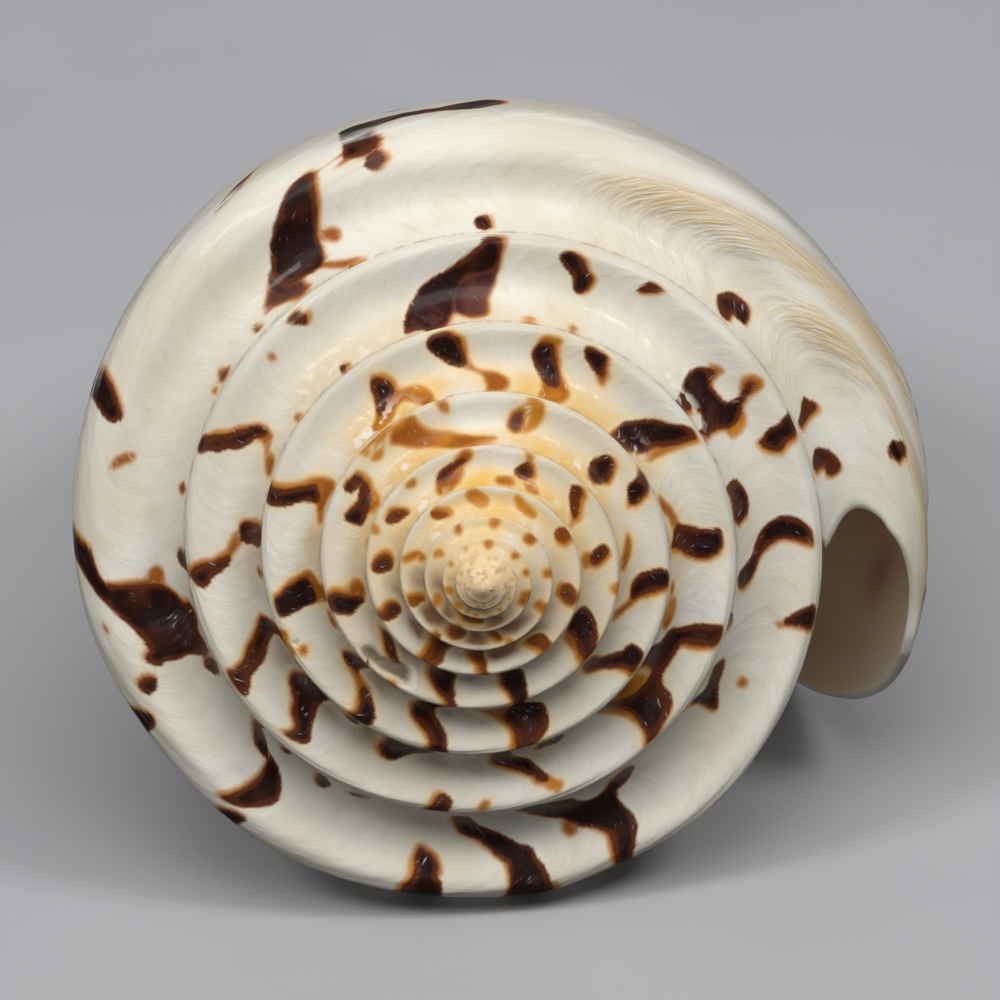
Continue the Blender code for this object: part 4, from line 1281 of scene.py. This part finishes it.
class Porcelain(Shading):
    """Ivory glaze with the shell's growth lines, dark flames, amber stains and wear."""

    def __init__(self, colours):
        super().__init__("porcelain_shell")
        self.colours = colours
        lines = self.add("ShaderNodeUVMap", uv_map="growth").outputs["UV"]
        parts = self.add("ShaderNodeSeparateXYZ", {0: lines})
        self.growth, self.across = parts.outputs["X"], parts.outputs["Y"]
        self.cloud = self.noise(170.0, 3.0)
        self.blot = self.noise(420.0)
        self.fine = self.noise(900.0, 3.0)
        self.streak = self.noise(1.0, 3.0, self.stretched(lines, (95.0, 5.0, 1.0)))
        self.hair = self.noise(1.0, 2.0, self.stretched(lines, (420.0, 7.0, 1.0)))
        ragged = self.plus(self.about(self.streak, 0.06), self.about(self.noise(480.0, 3.0), 0.50))
        self.set_depths(ragged)
        self.settle(
            Base_Color=self.mouth(self.worn_through(self.crests(self.stains(self.ground())))),
            Roughness=self.dullness(),
            Normal=self.bumps(),
            Subsurface_Weight=self.step(self.inside, 0.60, 0.98, 0.0, 0.9),
            Subsurface_Radius=(1.0, 0.80, 0.65),
            Subsurface_Scale=0.0015,
            Coat_Weight=0.15,
            Coat_Roughness=0.11,
            Specular_IOR_Level=0.12,
        )

    def set_depths(self, ragged):
        """How deep a place lies in each kind of mark, with the edges made uneven."""
        amber = self.plus(self.attribute("amber"), ragged, self.about(self.blot, 0.30))
        self.amber = self.plus(amber, self.step(self.growth, 6.6, 8.2, 0.0, -0.20))
        self.violet = self.plus(self.attribute("violet"), ragged)
        self.flame = self.attribute("dark")
        brushed = self.about(self.hair, 0.25)
        self.dark = self.plus(self.flame, self.times(ragged, 0.6), brushed)
        chipped = self.plus(self.about(self.fine, 0.7), self.about(self.blot, 0.9))
        self.worn = self.plus(self.attribute("worn"), chipped)
        self.inside = self.attribute("inside")
        self.tan = self.attribute("tan")

    def colour(self, name):
        return tuple(getattr(self.colours, name))

    def lay(self, base, name, *shares):
        """Lays a colour over the base, as much as all the shares together say."""
        return self.mix(self.times(*shares), base, self.colour(name))

    def ground(self):
        """Cool white porcelain with warm growth bands, yellower with age, and painted shade in the
        sutures.
        """
        cloud, blot, streak, hair = self.cloud, self.blot, self.streak, self.hair
        base = self.lay(self.colour("ivory"), "cream", self.step(cloud, 0.35, 0.65))
        base = self.lay(base, "warm", self.step(streak, 0.50, 0.78, 0.0, 0.35))
        base = self.lay(base, "warm", self.step(hair, 0.52, 0.72, 0.0, 0.22))
        old = self.step(self.growth, 1.6, 5.0, 0.0, 0.42)
        base = self.lay(base, "old_cream", old, self.step(cloud, 0.3, 0.7, 0.4, 1.0))
        base = self.lay(base, "peach", self.step(self.growth, 6.0, 8.2))
        thick = self.step(self.plus(blot, cloud), 0.75, 1.10, 0.15, 1.0)
        base = self.lay(base, "glaze", self.attribute("glaze"), thick)
        # Painted shade: brown in the sutures of the lower side, under the rims.
        painted_shade = self.times(self.attribute("soot"), self.step(blot, 0.35, 0.65, 0.25, 0.85))
        base = self.lay(base, "soot", self.chain("MINIMUM", (painted_shade, 0.9)))
        # The same brown, as fine scars on the worn tip.
        scars = self.step(self.noise(2400.0), 0.48, 0.66, 0.0, 0.40)
        base = self.lay(base, "soot", scars, self.step(self.growth, 6.6, 8.2))
        base = self.lay(base, "tan", self.tan, self.step(hair, 0.35, 0.65, 0.25, 1.0))
        lilac = self.attribute("lilac")
        base = self.lay(base, "lilac", lilac, self.step(cloud, 0.4, 0.6, 0.3, 1.0))
        # Painted shade: a thin amber line darkens the crease of each suture.
        painted_crease_shade = self.step(self.across, 0.022, 0.002)
        return self.lay(base, "amber", painted_crease_shade, self.step(streak, 0.35, 0.62, 0.0, 0.45))

    def stains(self, base):
        """From the faint glow round the stains inwards to their black hearts."""
        amber, violet, dark = self.amber, self.violet, self.dark
        cloud, blot, hair = self.cloud, self.blot, self.hair
        glow = self.step(amber, -0.65, -0.10, 0.0, 0.65)
        base = self.lay(base, "glow", glow, self.step(self.growth, 1.0, 2.6, 0.25, 1.0))
        honey = self.step(amber, -0.26, 0.06, 0.0, 0.85)
        base = self.lay(base, "honey", honey, self.step(self.growth, 1.0, 2.6, 0.75, 1.0))
        glassy = self.lay(self.colour("amber"), "honey", self.step(blot, 0.46, 0.70, 0.0, 0.8))
        base = self.mix(self.step(amber, -0.14, 0.20, 0.0, 0.95), base, glassy)
        base = self.lay(base, "violet", self.step(violet, -0.15, 0.28, 0.0, 0.9))
        between = self.plus(self.flame, violet)
        base = self.lay(base, "violet", self.step(between, -0.50, -0.12, 0.0, 0.9))

        aged = self.step(self.growth, 3.6, 5.8, 0.0, 0.85)
        rim = self.lay(self.colour("chestnut"), "amber", aged)
        rim = self.lay(rim, "violet", self.step(violet, -0.10, 0.15))
        heart = self.lay(self.colour("dark"), "russet", aged)
        heart = self.mix(self.step(blot, 0.50, 0.70, 0.0, 0.6), heart, rim)
        base = self.mix(self.step(dark, -0.12, 0.08), base, rim)
        clouded = self.step(cloud, 0.40, 0.60, 0.7, 1.0)
        deepest = self.times(self.step(violet, -0.05, 0.25), clouded, self.step(dark, -0.70, 0.0))
        base = self.mix(deepest, base, heart)
        inner = self.chain("SUBTRACT", (dark, self.step(blot, 0.35, 0.65, 0.0, 0.22)))
        base = self.mix(self.step(inner, 0.0, 0.24), base, heart)

        foot = self.times(self.step(self.across, 0.30, 0.06), self.step(dark, 0.15, 0.45))
        base = self.lay(base, "plum", foot, self.step(self.streak, 0.40, 0.60, 0.1, 0.8))
        # Painted sheen: bluish grey in the hearts of the widest flames, standing in for the
        # glaze's reflection.
        deep = self.times(self.step(dark, 0.30, 0.80), self.step(cloud, 0.50, 0.62))
        base = self.lay(base, "painted_sheen", deep, self.step(hair, 0.35, 0.65, 0.15, 0.7))
        scratch_and_glint_white = self.step(hair, 0.64, 0.74)
        return self.lay(base, "scratch_and_glint_white", scratch_and_glint_white, self.step(cloud, 0.42, 0.58, 0.05, 0.50))

    def crests(self, base):
        """A white line along the crest of each shoulder, broken along its length: partly bare worn
        shell, partly a painted highlight where the rim catches the light. Then the painted glints.
        """
        # Painted highlight, partly bare crest: white along each shoulder's crest, where the rim
        # catches the light.
        crest = self.times(self.step(self.across, 0.90, 0.97), self.step(self.across, 1.03, 0.995))
        frayed = self.plus(self.streak, self.times(self.fine, 0.6))
        base = self.lay(base, "scratch_and_glint_white", crest, self.step(frayed, 0.66, 0.90, 0.15, 0.9))
        # Painted glints: white spots at the foot of the upper ramps.
        fleck = self.times(self.attribute("fleck"), self.step(self.noise(1500.0, 1.0), 0.50, 0.60))
        return self.lay(base, "scratch_and_glint_white", fleck, self.step(self.blot, 0.42, 0.54))

    def worn_through(self, base):
        """Splintered edges round the broken surface of a chip."""
        fine, worn = self.fine, self.worn
        splinter = self.times(self.step(worn, -0.24, -0.02), self.step(fine, 0.50, 0.58, 0.0, 0.9))
        base = self.lay(base, "scratch_and_glint_white", splinter, self.step(self.cloud, 0.42, 0.50, 0.2, 1.0))
        broken = self.lay(self.colour("bare"), "chalk", self.step(fine, 0.40, 0.58))
        broken = self.lay(broken, "scratch_and_glint_white", self.step(fine, 0.60, 0.68, 0.0, 0.7))
        return self.mix(self.step(worn, -0.04, 0.26, 0.0, 0.85), base, broken)

    def mouth(self, base):
        """The stained inside of the mouth."""
        patchy = self.step(self.plus(self.cloud, self.streak), 0.75, 1.2, 0.75, 1.0)
        base = self.lay(base, "mouth", self.step(self.inside, 0.60, 0.98), patchy)
        return self.lay(base, "amber", self.attribute("spot"), 0.55)

    def dullness(self):
        dull = self.step(self.cloud, 0.35, 0.65, 0.36, 0.48)
        worn = self.step(self.worn, -0.05, 0.10, 0.0, 0.4)
        return self.plus(dull, worn, self.step(self.hair, 0.5, 0.75, 0.0, 0.10))

    def bumps(self):
        lines = self.plus(self.times(self.hair, 0.8), self.times(self.streak, 0.6))
        ridges = self.times(self.tan, self.hair, 6.0)
        height = self.plus(lines, self.times(self.fine, 0.3), ridges)
        inputs = {"Height": height, "Strength": 0.45, "Distance": 0.00006}
        return self.add("ShaderNodeBump", inputs).outputs["Normal"]


def linear(colour):
    """A colour given as seen, in 0 to 255, turned into the light it sends back."""
    shares = [value / 255 for value in colour]
    return (*[s / 12.92 if s < 0.04045 else ((s + 0.055) / 1.055) ** 2.4 for s in shares], 1.0)


def link(obj):
    bpy.context.scene.collection.objects.link(obj)
    return obj


def make_shell(sizes, colours):
    mesh = grow_sheet(GrowthLaw(sizes))
    mesh.unworn = np.array(mesh.points)
    marks = mark_depths(mesh)
    split_faces(mesh, np.maximum(marks["dark"], marks["amber"]))
    data = bpy.data.meshes.new("cone_shell")
    faces = [[mesh.vertex[corner] for corner in face] for face in mesh.faces]
    data.from_pydata([tuple(point) for point in mesh.points], [], faces)
    piece = link(bpy.data.objects.new("cone_shell", data))
    roughen(piece, mesh, sizes.relief)
    paint(data, mesh, marks)
    data.transform(resting_place(mesh.unworn))
    rub_flat(data)
    data.materials.append(Porcelain(colours).material)
    data.shade_smooth()
    data.update()
    return piece


def rub_flat(data):
    """Flattens what would lie under the table."""
    points = np.empty(len(data.vertices) * 3)
    data.vertices.foreach_get("co", points)
    points[2::3] = np.maximum(points[2::3], 0.0)
    data.vertices.foreach_set("co", points)


def make_floor(colours):
    """A plain table. It is kept out of the shell's shade and gloss, which it would fill."""
    bpy.ops.mesh.primitive_plane_add(size=FLOOR_SIZE)
    floor = bpy.context.object
    floor.name = "table"
    floor.visible_diffuse = False
    floor.visible_glossy = False
    look = Shading("table_top")
    clouds = look.step(look.noise(30.0, 4.0), 0.2, 0.8)
    colour = look.mix(clouds, tuple(colours.table), tuple(colours.table_light))
    look.settle(Base_Color=colour, Roughness=0.8)
    floor.data.materials.append(look.material)
    return floor


def make_lamp(name, place, size, power):
    lamp = bpy.data.lights.new(name, "AREA")
    lamp.size, lamp.energy = size, power
    holder = link(bpy.data.objects.new(name, lamp))
    holder.location = place
    holder.rotation_euler = (LAMP_AIM - Vector(place)).to_track_quat("-Z", "Y").to_euler()
    holder.visible_camera = False


def make_camera():
    """Looks down on the spire from the front, rolled a little."""
    low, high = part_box("shell")
    tip = Vector(lo + share * (hi - lo) for lo, hi, share in zip(low, high, TIP_SHARE))
    right, up, back = Vector(CAMERA_RIGHT), Vector(CAMERA_UP), Vector(CAMERA_BACK)
    aim = tip + right * TIP_LEFT_OF_MIDDLE + up * TIP_BELOW_MIDDLE
    camera = bpy.data.cameras.new("camera")
    camera.lens = camera.sensor_width * CAMERA_DISTANCE / VIEW_WIDTH
    camera.clip_end = CAMERA_REACH
    holder = link(bpy.data.objects.new("camera", camera))
    axes = Matrix((right, up, back)).transposed().to_4x4()
    holder.matrix_world = Matrix.Translation(aim + back * CAMERA_DISTANCE) @ axes
    bpy.context.scene.camera = holder


def set_sky(colours):
    world = bpy.data.worlds.new("soft room light")
    world.use_nodes = True
    back = world.node_tree.nodes["Background"]
    back.inputs["Color"].default_value = tuple(colours.room)
    back.inputs["Strength"].default_value = SKY_STRENGTH
    bpy.context.scene.world = world


def colour_property(name, description, seen):
    return FloatVectorProperty(
        name=name,
        description=description,
        default=linear(seen),
        size=4,
        min=0.0,
        max=1.0,
        subtype="COLOR",
    )


class ShellSizes(bpy.types.PropertyGroup):
    """The sizes of the shell."""

    lip_radius: FloatProperty(
        name="Shoulder radius",
        description="Radius of the shoulder where the outer lip meets it",
        default=0.02253,
        min=0.005,
        unit="LENGTH",
    )
    shell_length: FloatProperty(
        name="Length",
        description="From the tip of the spire to the front end",
        default=0.0620,
        min=0.01,
        unit="LENGTH",
    )
    lip_wall: FloatProperty(
        name="Lip thickness",
        description="Thickness of the wall at the outer lip",
        default=0.0005,
        min=0.0004,
        unit="LENGTH",
    )
    relief: FloatProperty(
        name="Relief",
        description="How much of the fine relief shows, from none to twice the usual",
        default=1.0,
        min=0.0,
        max=2.0,
        subtype="FACTOR",
    )


class ShellColours(bpy.types.PropertyGroup):
    """The colours of the shell and of what it lies on."""

    ivory: colour_property("Ivory", "The palest ground of the glaze", (238, 234, 222))
    cream: colour_property("Cream", "Cloudy patches of the ground", (229, 222, 203))
    warm: colour_property("Warm lines", "Growth lines of the ground", (214, 200, 174))
    old_cream: colour_property("Old cream", "Ground of the older turns", (240, 208, 152))
    peach: colour_property("Peach", "The oldest turns and the tip", (252, 216, 171))
    glaze: colour_property("Suture glaze", "Yellow glaze along the suture", (238, 190, 92))
    # Brown painted into the lower sutures as shade; it also colours the fine scars on the worn
    # tip.
    soot: colour_property("Suture dirt", "Brown dirt in the lower sutures", (136, 84, 38))
    tan: colour_property("Tan", "Bands of ridged growth near the lip", (216, 182, 122))
    lilac: colour_property("Lilac", "Tint of the shoulder by the lip", (190, 175, 185))
    glow: colour_property("Glow", "Faint warmth round a stain", (240, 212, 154))
    honey: colour_property("Honey", "Palest rim of a stain", (210, 138, 36))
    amber: colour_property("Amber", "Stains beside the flames", (158, 84, 16))
    violet: colour_property("Violet", "Pigment deep in the glaze", (96, 56, 50))
    chestnut: colour_property("Chestnut", "Edges of the dark flames", (96, 46, 22))
    russet: colour_property("Russet", "Flames of the oldest turns", (132, 72, 42))
    dark: colour_property("Dark", "Middle of the flames", (36, 16, 11))
    plum: colour_property("Plum", "Feet of the flames", (92, 50, 44))
    # A painted sheen, standing in for the glaze's reflection over the widest flames.
    painted_sheen: colour_property("Slate", "Sheen in the widest flames", (84, 73, 78))
    chalk: colour_property("Chalk", "Worn shell", (142, 124, 108))
    bare: colour_property("Bare shell", "Darker places in worn shell", (100, 82, 68))
    # This white is also painted as the highlight on the shoulder crests and as the glints in the
    # upper sutures.
    scratch_and_glint_white: colour_property(
        "Bare edges", "Scratches, and the bare crest of a shoulder", (246, 240, 228)
    )
    mouth: colour_property("Mouth", "Stained inside of the mouth", (238, 206, 176))
    table: colour_property("Table", "What the shell lies on", (176, 177, 180))
    table_light: colour_property("Table, lighter", "Faint clouds on the table", (184, 185, 187))
    room: colour_property("Room", "Light from the walls of the room", (235, 238, 245))


class SHELL_OT_grow(bpy.types.Operator):
    """Grow the shell by its law of growth and glaze it"""

    bl_idname = "cone_shell.grow"
    bl_label = "Shell"

    def execute(self, context):
        piece = make_shell(context.scene.shell_sizes, context.scene.shell_colours)
        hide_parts("shell")
        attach(piece, "root")
        return {"FINISHED"}


class SHELL_OT_stage(bpy.types.Operator):
    """Set out the table, the lamps and the camera"""

    bl_idname = "cone_shell.stage"
    bl_label = "Stage"

    def execute(self, context):
        colours = context.scene.shell_colours
        make_floor(colours)
        set_sky(colours)
        for lamp in LAMPS:
            make_lamp(*lamp)
        make_camera()
        context.scene.view_settings.view_transform = "Standard"
        return {"FINISHED"}


class SHELL_PT_panel(bpy.types.Panel):
    """The shell's sizes, colours and pieces."""

    bl_label = "Cone Shell"
    bl_idname = "SHELL_PT_panel"
    bl_space_type = "VIEW_3D"
    bl_region_type = "UI"
    bl_category = "Cone Shell"

    def draw(self, context):
        for group in (context.scene.shell_sizes, context.scene.shell_colours):
            box = self.layout.box()
            for name in group.__annotations__:
                box.prop(group, name)
        for operator in OPERATORS:
            self.layout.operator(operator.bl_idname)


OPERATORS = (SHELL_OT_grow, SHELL_OT_stage)
CLASSES = (ShellSizes, ShellColours, *OPERATORS, SHELL_PT_panel)


def register():
    for cls in CLASSES:
        bpy.utils.register_class(cls)
    bpy.types.Scene.shell_sizes = PointerProperty(type=ShellSizes)
    bpy.types.Scene.shell_colours = PointerProperty(type=ShellColours)


def unregister():
    del bpy.types.Scene.shell_colours
    del bpy.types.Scene.shell_sizes
    for cls in reversed(CLASSES):
        bpy.utils.unregister_class(cls)


def main():
    register()
    bpy.ops.object.select_all(action="DESELECT")
    bpy.ops.cone_shell.grow()
    bpy.ops.cone_shell.stage()


if __name__ == "__main__":
    main()
